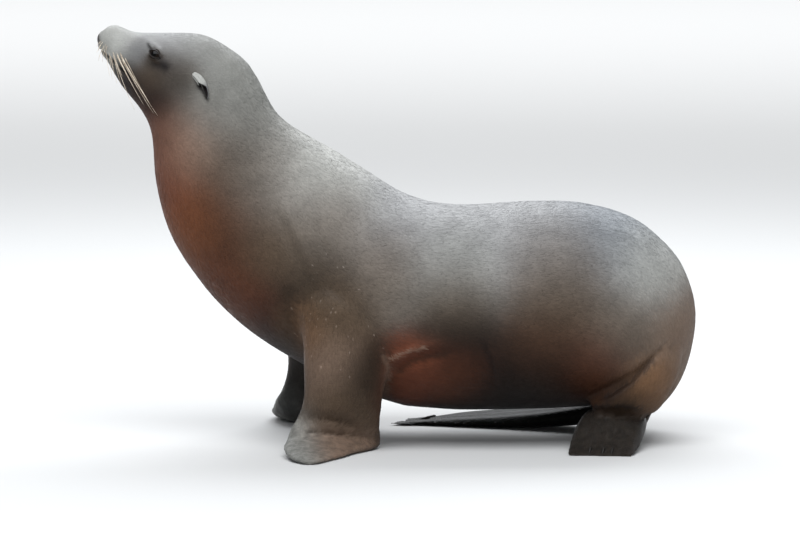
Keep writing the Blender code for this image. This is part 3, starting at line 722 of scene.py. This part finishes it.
class Finish:
    """A material with its shader, and short ways to add and link nodes."""

    def __init__(self, name):
        self.material = bpy.data.materials.new(name)
        self.material.use_nodes = True
        self.nodes = self.material.node_tree.nodes
        self.links = self.material.node_tree.links
        self.shader = self.nodes["Principled BSDF"]

    def set(self, **values):
        for name, value in values.items():
            self.shader.inputs[name.replace("_", " ")].default_value = value

    def node(self, kind, inputs=None, **settings):
        made = self.nodes.new(kind)
        for name, value in settings.items():
            setattr(made, name, value)
        for name, value in (inputs or {}).items():
            if isinstance(value, bpy.types.NodeSocket):
                self.links.new(value, made.inputs[name])
            else:
                made.inputs[name].default_value = value
        return made

    def attribute(self, name, output="Fac"):
        return self.node("ShaderNodeAttribute", attribute_name=name).outputs[output]

    def noise(self, vector, scale, detail=3.0, roughness=0.55):
        return self.node("ShaderNodeTexNoise", {"Vector": vector, "Scale": scale, "Detail": detail,
                                                "Roughness": roughness}).outputs["Fac"]

    def maths(self, operation, first, second=0.0, third=None):
        made = self.node("ShaderNodeMath", {0: first, 1: second}, operation=operation)
        if third is not None:
            made.inputs[2].default_value = third
        return made.outputs[0]

    def spread(self, value, low, high, to_low, to_high):
        return self.node("ShaderNodeMapRange", {"Value": value, "From Min": low, "From Max": high,
                                                "To Min": to_low, "To Max": to_high}).outputs["Result"]

    def brighten(self, colour, factor):
        return self.node("ShaderNodeVectorMath", {0: colour, 1: factor}, operation="MULTIPLY").outputs[0]

    def mix(self, factor, first, second):
        made = self.node("ShaderNodeMix", data_type="RGBA")
        for socket, value in ((0, factor), (6, first), (7, second)):
            if isinstance(value, bpy.types.NodeSocket):
                self.links.new(value, made.inputs[socket])
            else:
                made.inputs[socket].default_value = value
        return made.outputs[2]

    def link(self, value, socket):
        self.links.new(value, self.shader.inputs[socket])

    def bump(self, height, distance, strength=1.0, under=None):
        made = self.node("ShaderNodeBump", {"Height": height, "Distance": distance, "Strength": strength})
        if under is not None:
            self.links.new(under, made.inputs["Normal"])
        return made.outputs["Normal"]


hide = Finish("coat_skin")
hide.set(IOR=1.25, Sheen_Weight=0.03, Sheen_Roughness=0.45, Sheen_Tint=(0.86, 0.92, 1.0, 1))
lie_run = hide.attribute("lie_run", "Vector")
place = hide.node("ShaderNodeTexCoord").outputs["Object"]
bare = hide.attribute("bare")
streaks = hide.noise(lie_run, 420.0, 4.0, 0.6)
clouds = hide.noise(place, 26.0, 3.0, 0.5)
specks = hide.noise(place, 900.0, 2.0, 0.6)
tone = hide.brighten(hide.attribute("coat_tone", "Color"), hide.spread(streaks, 0.3, 0.7, 0.86, 1.14))
tone = hide.brighten(tone, hide.spread(clouds, 0.3, 0.7, 0.90, 1.10))
tone = hide.brighten(tone, hide.spread(specks, 0.3, 0.7, 0.92, 1.08))
scuffs = hide.spread(hide.noise(place, 75.0, 5.0, 0.65), 0.35, 0.65, -0.30, 0.34)
tone = hide.brighten(tone, hide.maths("MULTIPLY_ADD", scuffs, bare, 1.0))
hide.link(tone, "Base Color")
creases = hide.node("ShaderNodeTexVoronoi", {"Vector": place, "Scale": 260.0}, feature="DISTANCE_TO_EDGE")
wrinkles = hide.noise(place, 90.0, 6.0, 0.65)
leather_height = hide.maths("MULTIPLY", hide.spread(creases.outputs["Distance"], 0.0, 0.12, 0.0, 1.0), bare)
fur_height = hide.maths("MULTIPLY", streaks, hide.spread(bare, 0.0, 1.0, 1.0, 0.15))
relief = hide.bump(fur_height, 0.0006)
relief = hide.bump(leather_height, 0.0006, 0.9, relief)
wrinkle_height = hide.maths("MULTIPLY", wrinkles, hide.spread(bare, 0.0, 1.0, 0.35, 1.0))
relief = hide.bump(wrinkle_height, 0.0022, 0.8, relief)
hide.link(relief, "Normal")
shine = hide.spread(hide.maths("ADD", clouds, bare), 0.3, 1.7, 0.50, 0.36)
hide.link(shine, "Roughness")
skin.data.materials.append(hide.material)
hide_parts(*[part for part in FLESH if not part.startswith("ear")])
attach(skin, "root")
bpy.data.objects.remove(melted)


# ------------------------------------------------------------------ eyes
# Two large dark eyeballs, cast in glass and set in the sockets behind the lids: a nearly
# black brown iris with a wide pupil, under a clear bulging cornea.
def eyeball(name, side):
    centre = np.array(EYE) * (1, side, 1)
    look = LOOK * (1, side, 1)
    look = look / np.linalg.norm(look)
    work = bmesh.new()
    bmesh.ops.create_uvsphere(work, u_segments=64, v_segments=48, radius=1.0)
    for vertex in work.verts:
        direction = np.array(vertex.co)
        swell = 0.05 * math.exp(-((1 - direction[2]) / 0.16) ** 2)
        vertex.co = Vector(direction * (EYE_RADIUS - 0.0002) * (1 + swell * 0.6))
    turn = Vector((0, 0, 1)).rotation_difference(Vector(look)).to_matrix()
    bmesh.ops.transform(work, matrix=turn.to_4x4(), verts=work.verts)
    bmesh.ops.translate(work, vec=Vector(centre), verts=work.verts)
    mesh = bpy.data.meshes.new(name)
    work.to_mesh(mesh)
    work.free()
    mesh.shade_smooth()
    ball = bpy.data.objects.new(name, mesh)
    bpy.context.scene.collection.objects.link(ball)
    points = np.array([v.co for v in mesh.vertices])
    facing = unit(points - centre) @ look
    mark_points(ball, "facing", facing)
    ball.data.materials.append(glass_eye.material)
    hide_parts(name.replace("ball", "eye"))
    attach(ball, "root")


glass_eye = Finish("glass_eye")
glass_eye.set(Roughness=0.07, IOR=1.24)
facing = glass_eye.attribute("facing")
fibres = glass_eye.noise(glass_eye.node("ShaderNodeTexCoord").outputs["Object"], 900.0, 3.0, 0.6)
iris = glass_eye.mix(glass_eye.spread(fibres, 0.3, 0.7, 0.0, 1.0),
                     (0.006, 0.004, 0.003, 1), (0.014, 0.009, 0.006, 1))
inside = glass_eye.mix(glass_eye.spread(facing, 0.935, 0.955, 0.0, 1.0), iris, (0.002, 0.002, 0.002, 1))
white = glass_eye.mix(glass_eye.spread(facing, 0.70, 0.78, 0.0, 1.0), (0.010, 0.007, 0.006, 1), inside)
glass_eye.link(white, "Base Color")
for name, side in (("ball_left", 1), ("ball_right", -1)):
    eyeball(name, side)


# ------------------------------------------------------------------ ears
# Two small furled ears, each a leaf of gristle under short fur, rolled round a narrow slit
# and pointing back and down. The root runs into the side of the head.
EAR_ROOT = (-0.3868, -0.0860, 0.7090)
EAR_BEND = (-0.3605, -0.0990, 0.6900)
EAR_TIP = (-0.3562, -0.0930, 0.6570)
EAR_WIDTH = 0.0074
EAR_WALL = 0.0012
EAR_LENGTH_STEPS = 36
EAR_CURL_STEPS = 28
skin_tree = BVHTree.FromPolygons([Vector(p) for p in points.tolist()], triangles.tolist())


def on_skin(place):
    found = skin_tree.find_nearest(Vector(place))
    return np.array(found[0]), np.array(found[1])


def ear(name, side):
    root, bend, tip = (np.array(place) * (1, side, 1) for place in (EAR_ROOT, EAR_BEND, EAR_TIP))
    outer, inner = [], []
    for i in range(EAR_LENGTH_STEPS + 1):
        s = i / EAR_LENGTH_STEPS
        ground, away = on_skin(root * (1 - s) ** 2 + bend * 2 * s * (1 - s) + tip * s ** 2)
        along = (bend - root) * (1 - s) + (tip - bend) * s
        along = along / np.linalg.norm(along)
        away = away - along * (away @ along)
        away = away / np.linalg.norm(away)
        front = np.cross(along, away) * side
        lift = -0.0042 + 0.0080 * float(smoothstep(0.0, 0.42, s)) + 0.0008 * s
        width = EAR_WIDTH * math.sin(math.pi * (0.035 + 0.945 * s) ** 0.80) ** 0.75 + 0.0004
        thick = EAR_WALL * (1 - 0.5 * s)
        middle = ground + away * lift
        ring_out, ring_in = [], []
        gape = float(smoothstep(0.42, 0.66, s)) * (1 - 0.5 * float(smoothstep(0.85, 1.0, s)))
        open_half = math.radians(4 + 88 * gape)
        for j in range(EAR_CURL_STEPS + 1):
            q = j / EAR_CURL_STEPS
            turn = open_half + (2 * math.pi - 2 * open_half) * q
            # the slit faces down and forward, towards the cheek
            slit = 0.80 * front + 0.60 * away
            slit = slit / np.linalg.norm(slit)
            up = np.cross(slit, along)
            direction = slit * math.cos(turn) + up * math.sin(turn)
            flat = 0.62 + 0.38 * abs(direction @ front)
            ring_out.append(middle + direction * width * flat)
            ring_in.append(middle + direction * (width * flat - thick * min(1, 4 * q, 4 * (1 - q) + 0.25)))
        outer.append(ring_out)
        inner.append(ring_in)
    points = [p for ring in outer for p in ring] + [p for ring in inner for p in ring]
    many = EAR_CURL_STEPS + 1
    shift = many * (EAR_LENGTH_STEPS + 1)
    faces = []
    for i in range(EAR_LENGTH_STEPS):
        for j in range(EAR_CURL_STEPS):
            a, b = i * many + j, i * many + j + 1
            c, d = b + many, a + many
            faces.append((a, b, c, d))
            faces.append((shift + d, shift + c, shift + b, shift + a))
        for j in (0, EAR_CURL_STEPS):
            a, d = i * many + j, (i + 1) * many + j
            quad = (a, d, shift + d, shift + a)
            faces.append(quad if j == 0 else quad[::-1])
    for i in (0, EAR_LENGTH_STEPS):
        for j in range(EAR_CURL_STEPS):
            a, b = i * many + j, i * many + j + 1
            quad = (b, a, shift + a, shift + b)
            faces.append(quad if i == 0 else quad[::-1])
    piece = mesh_object(name, np.array(points), faces)
    work = bmesh.new()
    work.from_mesh(piece.data)
    bmesh.ops.recalc_face_normals(work, faces=work.faces)
    work.to_mesh(piece.data)
    work.free()
    piece.data.shade_smooth()
    smooth = piece.modifiers.new("smooth", "SUBSURF")
    smooth.levels = 1
    smooth.render_levels = 1
    places = np.array(points)
    inside = np.arange(len(places)) >= shift
    ring_place = (np.arange(len(places)) % shift) // many / EAR_LENGTH_STEPS
    # painted highlight: the root half of each ear's outer side is paler silver; painted shade: its inner wall
    # is nearly black
    pale = smoothstep(0.72, 0.42, ring_place)[:, None]
    tone = PEWTER * (1 - pale) + SILVER * pale
    tone[inside] = INK
    paint_points(piece, "coat_tone", tone)
    mark_points(piece, "bare", np.zeros(len(places)))
    run_layer = piece.data.attributes.new("lie_run", "FLOAT_VECTOR", "POINT")
    run_layer.data.foreach_set("vector", places.astype(np.float32).ravel())
    piece.data.materials.append(hide.material)
    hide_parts(name.replace("pinna", "ear"))
    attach(piece, "root")


for name, side in (("pinna_left", 1), ("pinna_right", -1)):
    ear(name, side)


# ------------------------------------------------------------------ claws
# Short dark horn nails on the middle three toes of each hind foot, set into the leather.
horn = Finish("claw_horn")
horn.set(Roughness=0.60, IOR=1.35)
grain = horn.noise(horn.node("ShaderNodeTexCoord").outputs["Object"], 700.0, 3.0, 0.6)
horn_tone = horn.mix(horn.spread(grain, 0.35, 0.65, 0.0, 1.0),
                     (0.006, 0.005, 0.004, 1), (0.018, 0.014, 0.011, 1))
horn.link(horn_tone, "Base Color")
horn.link(horn.bump(grain, 0.0003), "Normal")
for name, claw in nodes.items():
    if name.startswith("claw"):
        claw.data.materials.clear()
        claw.data.materials.append(horn.material)


# ------------------------------------------------------------------ whiskers
# Stiff ivory whiskers in rows on each cheek pad, short at the nose and long at the back,
# each a tapered strand rooted in the skin that hangs down and back past the chin.
WHISKER_SIDES = 6
WHISKER_STEPS = 14
ROW_COUNTS = (5, 6, 6, 6, 5)
PAD_TOP = np.array((-0.5580, 0.0, 0.7680))
COLUMN_GAP = 0.0095
STAGGER = 0.0048
ROW_GAP = 0.0042
PAD_LENGTH = 0.0535
SHORTEST = 0.013
LONGER = 0.172
ROW_WAY = np.array((0.836, 0.0, -0.549))
ROW_DOWN = np.array((-0.549, 0.0, -0.836))


def strand(root, way, length, thick, sag, sweep):
    """A tapered round strand that starts along way and bends towards sag as it goes."""
    rings = []
    place = np.array(root, float)
    step = length / WHISKER_STEPS
    way = way / np.linalg.norm(way)
    for i in range(WHISKER_STEPS + 1):
        t = i / WHISKER_STEPS
        side = np.cross(way, (0.3, 1.0, 0.2))
        side = side / np.linalg.norm(side)
        other = np.cross(way, side)
        radius = thick / 2 * (1 - t) ** 0.75 + 0.00016
        rings.append([place + radius * (math.cos(a) * side + math.sin(a) * other)
                      for a in np.arange(WHISKER_SIDES) * math.tau / WHISKER_SIDES])
        place = place + way * step
        way = way + (np.array(sag) * 0.9 + np.array(sweep) * t) * step / length
        way = way / np.linalg.norm(way)
    points = [p for ring in rings for p in ring]
    faces = []
    for i in range(WHISKER_STEPS):
        for j in range(WHISKER_SIDES):
            a, b = i * WHISKER_SIDES + j, i * WHISKER_SIDES + (j + 1) % WHISKER_SIDES
            faces.append((a, b, b + WHISKER_SIDES, a + WHISKER_SIDES))
    faces.append(tuple(range(WHISKER_SIDES))[::-1])
    faces.append(tuple(len(points) - WHISKER_SIDES + j for j in range(WHISKER_SIDES)))
    return points, faces


def whiskers(name, side, chance):
    points, faces = [], []
    for row, columns in enumerate(ROW_COUNTS):
        for column in range(columns):
            back = 0.0020 + COLUMN_GAP * column + STAGGER * (row % 2)
            start = PAD_TOP + ROW_WAY * back + ROW_DOWN * (0.0010 + ROW_GAP * row)
            start[1] = -0.3 * side
            found = skin_tree.ray_cast(Vector(start), Vector((0, side, 0)))
            if found[0] is None:
                continue
            ground, away = np.array(found[0]), np.array(found[1])
            reach = back / PAD_LENGTH
            length = SHORTEST + LONGER * reach ** 1.6 * (0.70 + 0.09 * row) * chance.uniform(0.62, 1.10)
            way = np.array((0.30 + 0.16 * reach, (-0.06 - 0.09 * row) * side, -0.85)) + away * 0.26
            way = way + chance.normal(0, (0.085, 0.09, 0.05), 3)
            if column < 2:
                way = way + np.array((-0.62 + 0.3 * column, 0, 0.10))
            sag = np.array((0.06, 0.20 * side, -0.16))
            sweep = np.array((0.16, 0.02 * side, 0.04))
            p, f = strand(ground - away * 0.0015, way, length, 0.0007 + 0.0005 * reach, sag, sweep)
            faces += [tuple(k + len(points) for k in face) for face in f]
            points += p
    piece = mesh_object(name, np.array(points), faces)
    piece.data.shade_smooth()
    piece.data.materials.append(bristle.material)
    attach(piece, "root")


bristle = Finish("whisker_bristle")
bristle.set(Roughness=0.38, IOR=1.5, Sheen_Weight=0.1)
bands = bristle.noise(bristle.node("ShaderNodeTexCoord").outputs["Object"], 60.0, 2.0, 0.5)
ivory = bristle.mix(bristle.spread(bands, 0.35, 0.65, 0.0, 1.0),
                    (0.42, 0.33, 0.24, 1), (0.80, 0.70, 0.56, 1))
bristle.link(ivory, "Base Color")
chance = np.random.default_rng(11)
for name, side in (("whiskers_left", 1), ("whiskers_right", -1)):
    whiskers(name, side, chance)


# ------------------------------------------------------------------ coat
# Short dense fur that lies flat: thin pointed tufts over the whole hide except the bare
# flippers, nose and lids, laid back along the lie of the coat so that each overlaps the next.
corner = points[triangles]
areas = np.linalg.norm(np.cross(corner[:, 1] - corner[:, 0], corner[:, 2] - corner[:, 0]), axis=1) / 2
covered = np.clip(1 - flipper * 1.6, 0, 1) * (1 - np.clip(pad * 1.5, 0, 1)) * (1 - np.clip(lips * 1.2, 0, 1))
for side in (1, -1):
    lid_gap = np.linalg.norm(points - np.array(EYE + Vector((-0.003, -0.015, 0.006))) * (1, side, 1), axis=1)
    covered *= smoothstep(0.0105, 0.0150, lid_gap)
    ear_gap, _ = line_distance(points, [(-0.385, -0.090 * side, 0.706), (-0.362, -0.099 * side, 0.664)])
    covered *= smoothstep(0.004, 0.008, ear_gap)
TUFTS = 108000
BODY_SPACING = 1.0
FACE_SPACING = 4.6
density = areas * (BODY_SPACING + (FACE_SPACING - BODY_SPACING) * face[triangles].mean(axis=1))
snout = smoothstep(-0.42, -0.50, points[:, 0]) * face
density *= 1 + 1.2 * snout[triangles].mean(axis=1)
density *= covered[triangles].mean(axis=1)
chance = np.random.default_rng(5)
chosen = np.sort(chance.choice(len(triangles), TUFTS, p=density / density.sum()))
u, v = chance.random((2, TUFTS))
u, v = np.where(u + v > 1, 1 - u, u), np.where(u + v > 1, 1 - v, v)
weights = np.stack([1 - u - v, u, v], 1)


def at_root(values):
    return np.einsum("ij,ij...->i...", weights, values[triangles[chosen]])


roots = at_root(points)
root_normals = unit(at_root(normals))
root_lie = unit(at_root(lie))
root_side = np.cross(root_normals, root_lie)
swing = chance.normal(0, 0.13, TUFTS)[:, None]
root_lie = unit(root_lie * np.cos(swing) + root_side * np.sin(swing))
root_face, root_snout = at_root(face), at_root(snout)
tuft_length = (0.0112 * (1 - root_face) + 0.0050 * root_face) * (1 - 0.35 * root_snout)
tuft_length *= chance.uniform(0.75, 1.2, TUFTS)
tuft_width = tuft_length * chance.uniform(0.20, 0.30, TUFTS)
tuft_rise = 0.00026 * (1 - root_face) + 0.00016 * root_face
tuft_lift = (BODY_COAT * (1 - root_face) + FACE_COAT * root_face) * chance.uniform(0.06, 0.32, TUFTS)
# the tufts take the hide's colour at their roots, its painted sheen and painted shade with it
tone = at_root(colours) * (1 + 0.055 * chance.normal(0, 1, TUFTS).clip(-2, 2))[:, None]
# short pale tufts here and there on the sleeve and the upper arm
SLEEVE_MIDDLE = (-0.135, 0, 0.245)
SLEEVE_REACH = 0.055
from_sleeve = np.linalg.norm((roots * (1, 0, 1) - SLEEVE_MIDDLE) * (1, 0, 0.62), axis=1)
sleeve = np.exp(-(from_sleeve / SLEEVE_REACH) ** 2)
pale_flecks = chance.random(TUFTS) < 0.055 * sleeve * (np.abs(roots[:, 1]) > 0.12)
tone[pale_flecks] = tone[pale_flecks] * 1.45 + 0.035
tuft_length[pale_flecks] *= 0.6
tuft_width[pale_flecks] *= 1.3

# how the tufts are shared out: by part of the body, and left from right
groups = {"head": FACE,
          "neck": ["neck"],
          "chest": ["chest"],
          "belly": ["belly"],
          "rump": ["rump", "tail", "hind_leg_left", "hind_leg_right",
                   "hind_flipper_left", "hind_flipper_right"],
          "arms": ["fore_arm_left", "fore_arm_right", "fore_flipper_left", "fore_flipper_right"]}
root_part = part[triangles[chosen, 0]]

# the unwrap of the animal's shape that the bake map is laid out on
block = mesh_object("block", points, triangles)
block_points, block_triangles = remeshed(block, 0.016)
bpy.data.objects.remove(block)
block = mesh_object("block", block_points, block_triangles)
bpy.context.view_layer.objects.active = block
block.select_set(True)
bpy.ops.object.mode_set(mode="EDIT")
bpy.ops.mesh.select_all(action="SELECT")
bpy.ops.uv.smart_project(angle_limit=math.radians(66), island_margin=0.004)
bpy.ops.object.mode_set(mode="OBJECT")
flat = np.empty(len(block.data.loops) * 2, np.float32)
block.data.uv_layers.active.data.foreach_get("uv", flat)
flat = flat.reshape(-1, 3, 2).astype(float)
block_tree = BVHTree.FromPolygons([Vector(p) for p in block_points.tolist()], block_triangles.tolist())
bpy.data.objects.remove(block)
BAKE_PATCH = 0.003
SLEEK = 0.16


def flat_place(place):
    """Where a point of the coat comes on the unwrap."""
    found = block_tree.find_nearest(Vector(place))
    a, b, c = block_points[block_triangles[found[2]]]
    p = np.array(found[0])
    area = np.linalg.norm(np.cross(b - a, c - a)) + 1e-15
    wa = np.linalg.norm(np.cross(b - p, c - p)) / area
    wb = np.linalg.norm(np.cross(c - p, a - p)) / area
    return flat[found[2]].T @ np.array((wa, wb, max(0, 1 - wa - wb)))


def laid(places):
    """The nearest places on the hide, and the way up from it there."""
    ground, away = np.empty_like(places), np.empty_like(places)
    for i, place in enumerate(places):
        ground[i], away[i] = skin_tree.find_nearest(Vector(place))[:2]
    return ground, away


middle, middle_up = laid(roots + root_lie * (0.45 * tuft_length)[:, None])
tip, tip_up = laid(roots + root_lie * tuft_length[:, None])
root_flat = np.array([flat_place(place) for place in roots])


def tufts(name, picked):
    """One piece of coat: a closed flat blade for each tuft, with its colour and bake map."""
    n, up, way = roots[picked], root_normals[picked], root_lie[picked]
    side = unit(np.cross(up, way))
    wide, rise, lift = tuft_width[picked][:, None], tuft_rise[picked][:, None], tuft_lift[picked][:, None]
    mid, mid_up, end, end_up = middle[picked], middle_up[picked], tip[picked], tip_up[picked]
    corners = np.stack([n - side * wide * 0.3 - up * 0.0004, n + side * wide * 0.3 - up * 0.0004,
                        n + up * rise * 0.6,
                        mid - side * wide * 0.5 + mid_up * lift * 0.45,
                        mid + side * wide * 0.5 + mid_up * lift * 0.45,
                        mid + mid_up * (lift * 0.45 + rise),
                        end + end_up * lift], 1)
    faces = np.array([(0, 3, 5), (0, 5, 2), (2, 5, 4), (2, 4, 1), (1, 4, 3), (1, 3, 0),
                      (3, 6, 5), (5, 6, 4), (4, 6, 3), (0, 2, 1)])
    every = (faces[None] + 7 * np.arange(len(picked))[:, None, None]).reshape(-1, 3)
    piece = mesh_object(name, corners.reshape(-1, 3), every)
    piece.data.shade_smooth()
    # each blade is shaded almost as the hide under it is, so that the coat reads as sleek
    own = point_normals(corners.reshape(-1, 3), every)
    hide_way = np.stack([up, up, up, mid_up, mid_up, mid_up, end_up], 1).reshape(-1, 3)
    piece.data.normals_split_custom_set_from_vertices(unit(hide_way + SLEEK * own).tolist())
    paint_points(piece, "coat_tone", np.repeat(tone[picked], 7, axis=0))
    spot = np.array([(-0.3, -0.5), (0.3, -0.5), (0, -0.5), (-0.5, 0), (0.5, 0), (0, 0), (0, 0.5)])
    spot = spot * BAKE_PATCH
    bake = (root_flat[picked][:, None] + spot[None]).reshape(-1, 2)
    layer = piece.data.uv_layers.new(name="OFBake")
    layer.data.foreach_set("uv", bake[every.ravel()].astype(np.float32).ravel())
    piece.data.materials.append(fur.material)
    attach(piece, "root")


fur = Finish("coat_fur")
fur.set(IOR=1.25, Sheen_Weight=0.03, Sheen_Roughness=0.45, Sheen_Tint=(0.86, 0.92, 1.0, 1), Roughness=0.48)
fur_place = fur.node("ShaderNodeTexCoord").outputs["Object"]
mottle = fur.noise(fur_place, 26.0, 3.0, 0.5)
fine = fur.noise(fur_place, 1400.0, 2.0, 0.6)
fur_tone = fur.brighten(fur.attribute("coat_tone", "Color"), fur.spread(mottle, 0.3, 0.7, 0.90, 1.10))
fur.link(fur.brighten(fur_tone, fur.spread(fine, 0.3, 0.7, 0.90, 1.10)), "Base Color")
fur.link(fur.bump(fine, 0.0003), "Normal")
for group, members in groups.items():
    inside = np.isin(root_part, [FLESH.index(name) for name in members])
    for half, picked in (("left", inside & (roots[:, 1] < 0)), ("right", inside & (roots[:, 1] >= 0))):
        tufts("coat_" + group + "_" + half, np.flatnonzero(picked))


# ------------------------------------------------------------------ floor, light and camera
# A plain pale studio floor under a soft sky, with three large soft panels: two over the
# animal, from the front and from behind, and one over the far floor.
floor = mesh_object("floor", [(40 * math.cos(a * math.tau / 64), 40 * math.sin(a * math.tau / 64), 0)
                              for a in range(64)], [list(range(64))])
pale = bpy.data.materials.new("pale_floor")
pale.use_nodes = True
pale.node_tree.nodes["Principled BSDF"].inputs["Base Color"].default_value = (0.66, 0.66, 0.65, 1)
pale.node_tree.nodes["Principled BSDF"].inputs["Roughness"].default_value = 0.85
floor.data.materials.append(pale)

world = bpy.data.worlds.new("soft_sky")
bpy.context.scene.world = world
world.use_nodes = True
world.node_tree.nodes["Background"].inputs["Color"].default_value = (0.93, 0.96, 1.0, 1)
world.node_tree.nodes["Background"].inputs["Strength"].default_value = 0.30
bpy.context.scene.view_settings.view_transform = "Standard"


def soft_panel(name, place, aim, width, length, power, colour):
    """A large soft light that faces the aimed place."""
    light = bpy.data.lights.new(name, "AREA")
    light.shape = "RECTANGLE"
    light.size = width
    light.size_y = length
    light.energy = power
    light.color = colour
    holder = bpy.data.objects.new(name, light)
    holder.location = place
    holder.rotation_euler = (Vector(aim) - Vector(place)).to_track_quat("-Z", "Y").to_euler()
    bpy.context.scene.collection.objects.link(holder)


soft_panel("front_top", (-0.2, -2.0, 3.8), (0, 0, 0.45), 4.5, 3.0, 190, (0.95, 0.97, 1.0))
soft_panel("back_top", (0.2, 2.6, 3.4), (0, 0, 0.45), 4.5, 2.0, 150, (0.93, 0.96, 1.0))
soft_panel("far_floor", (0, 11, 6.0), (0, 11, 0), 18, 8, 1100, (0.97, 0.98, 1.0))

camera = bpy.data.cameras.new("camera")
camera.lens = 252
camera.sensor_width = 36
camera_object = bpy.data.objects.new("camera", camera)
camera_object.location = (0.0052, -10.57, 1.57)
camera_object.rotation_euler = Euler((math.radians(83.3), 0, 0))
bpy.context.scene.collection.objects.link(camera_object)
bpy.context.scene.camera = camera_object
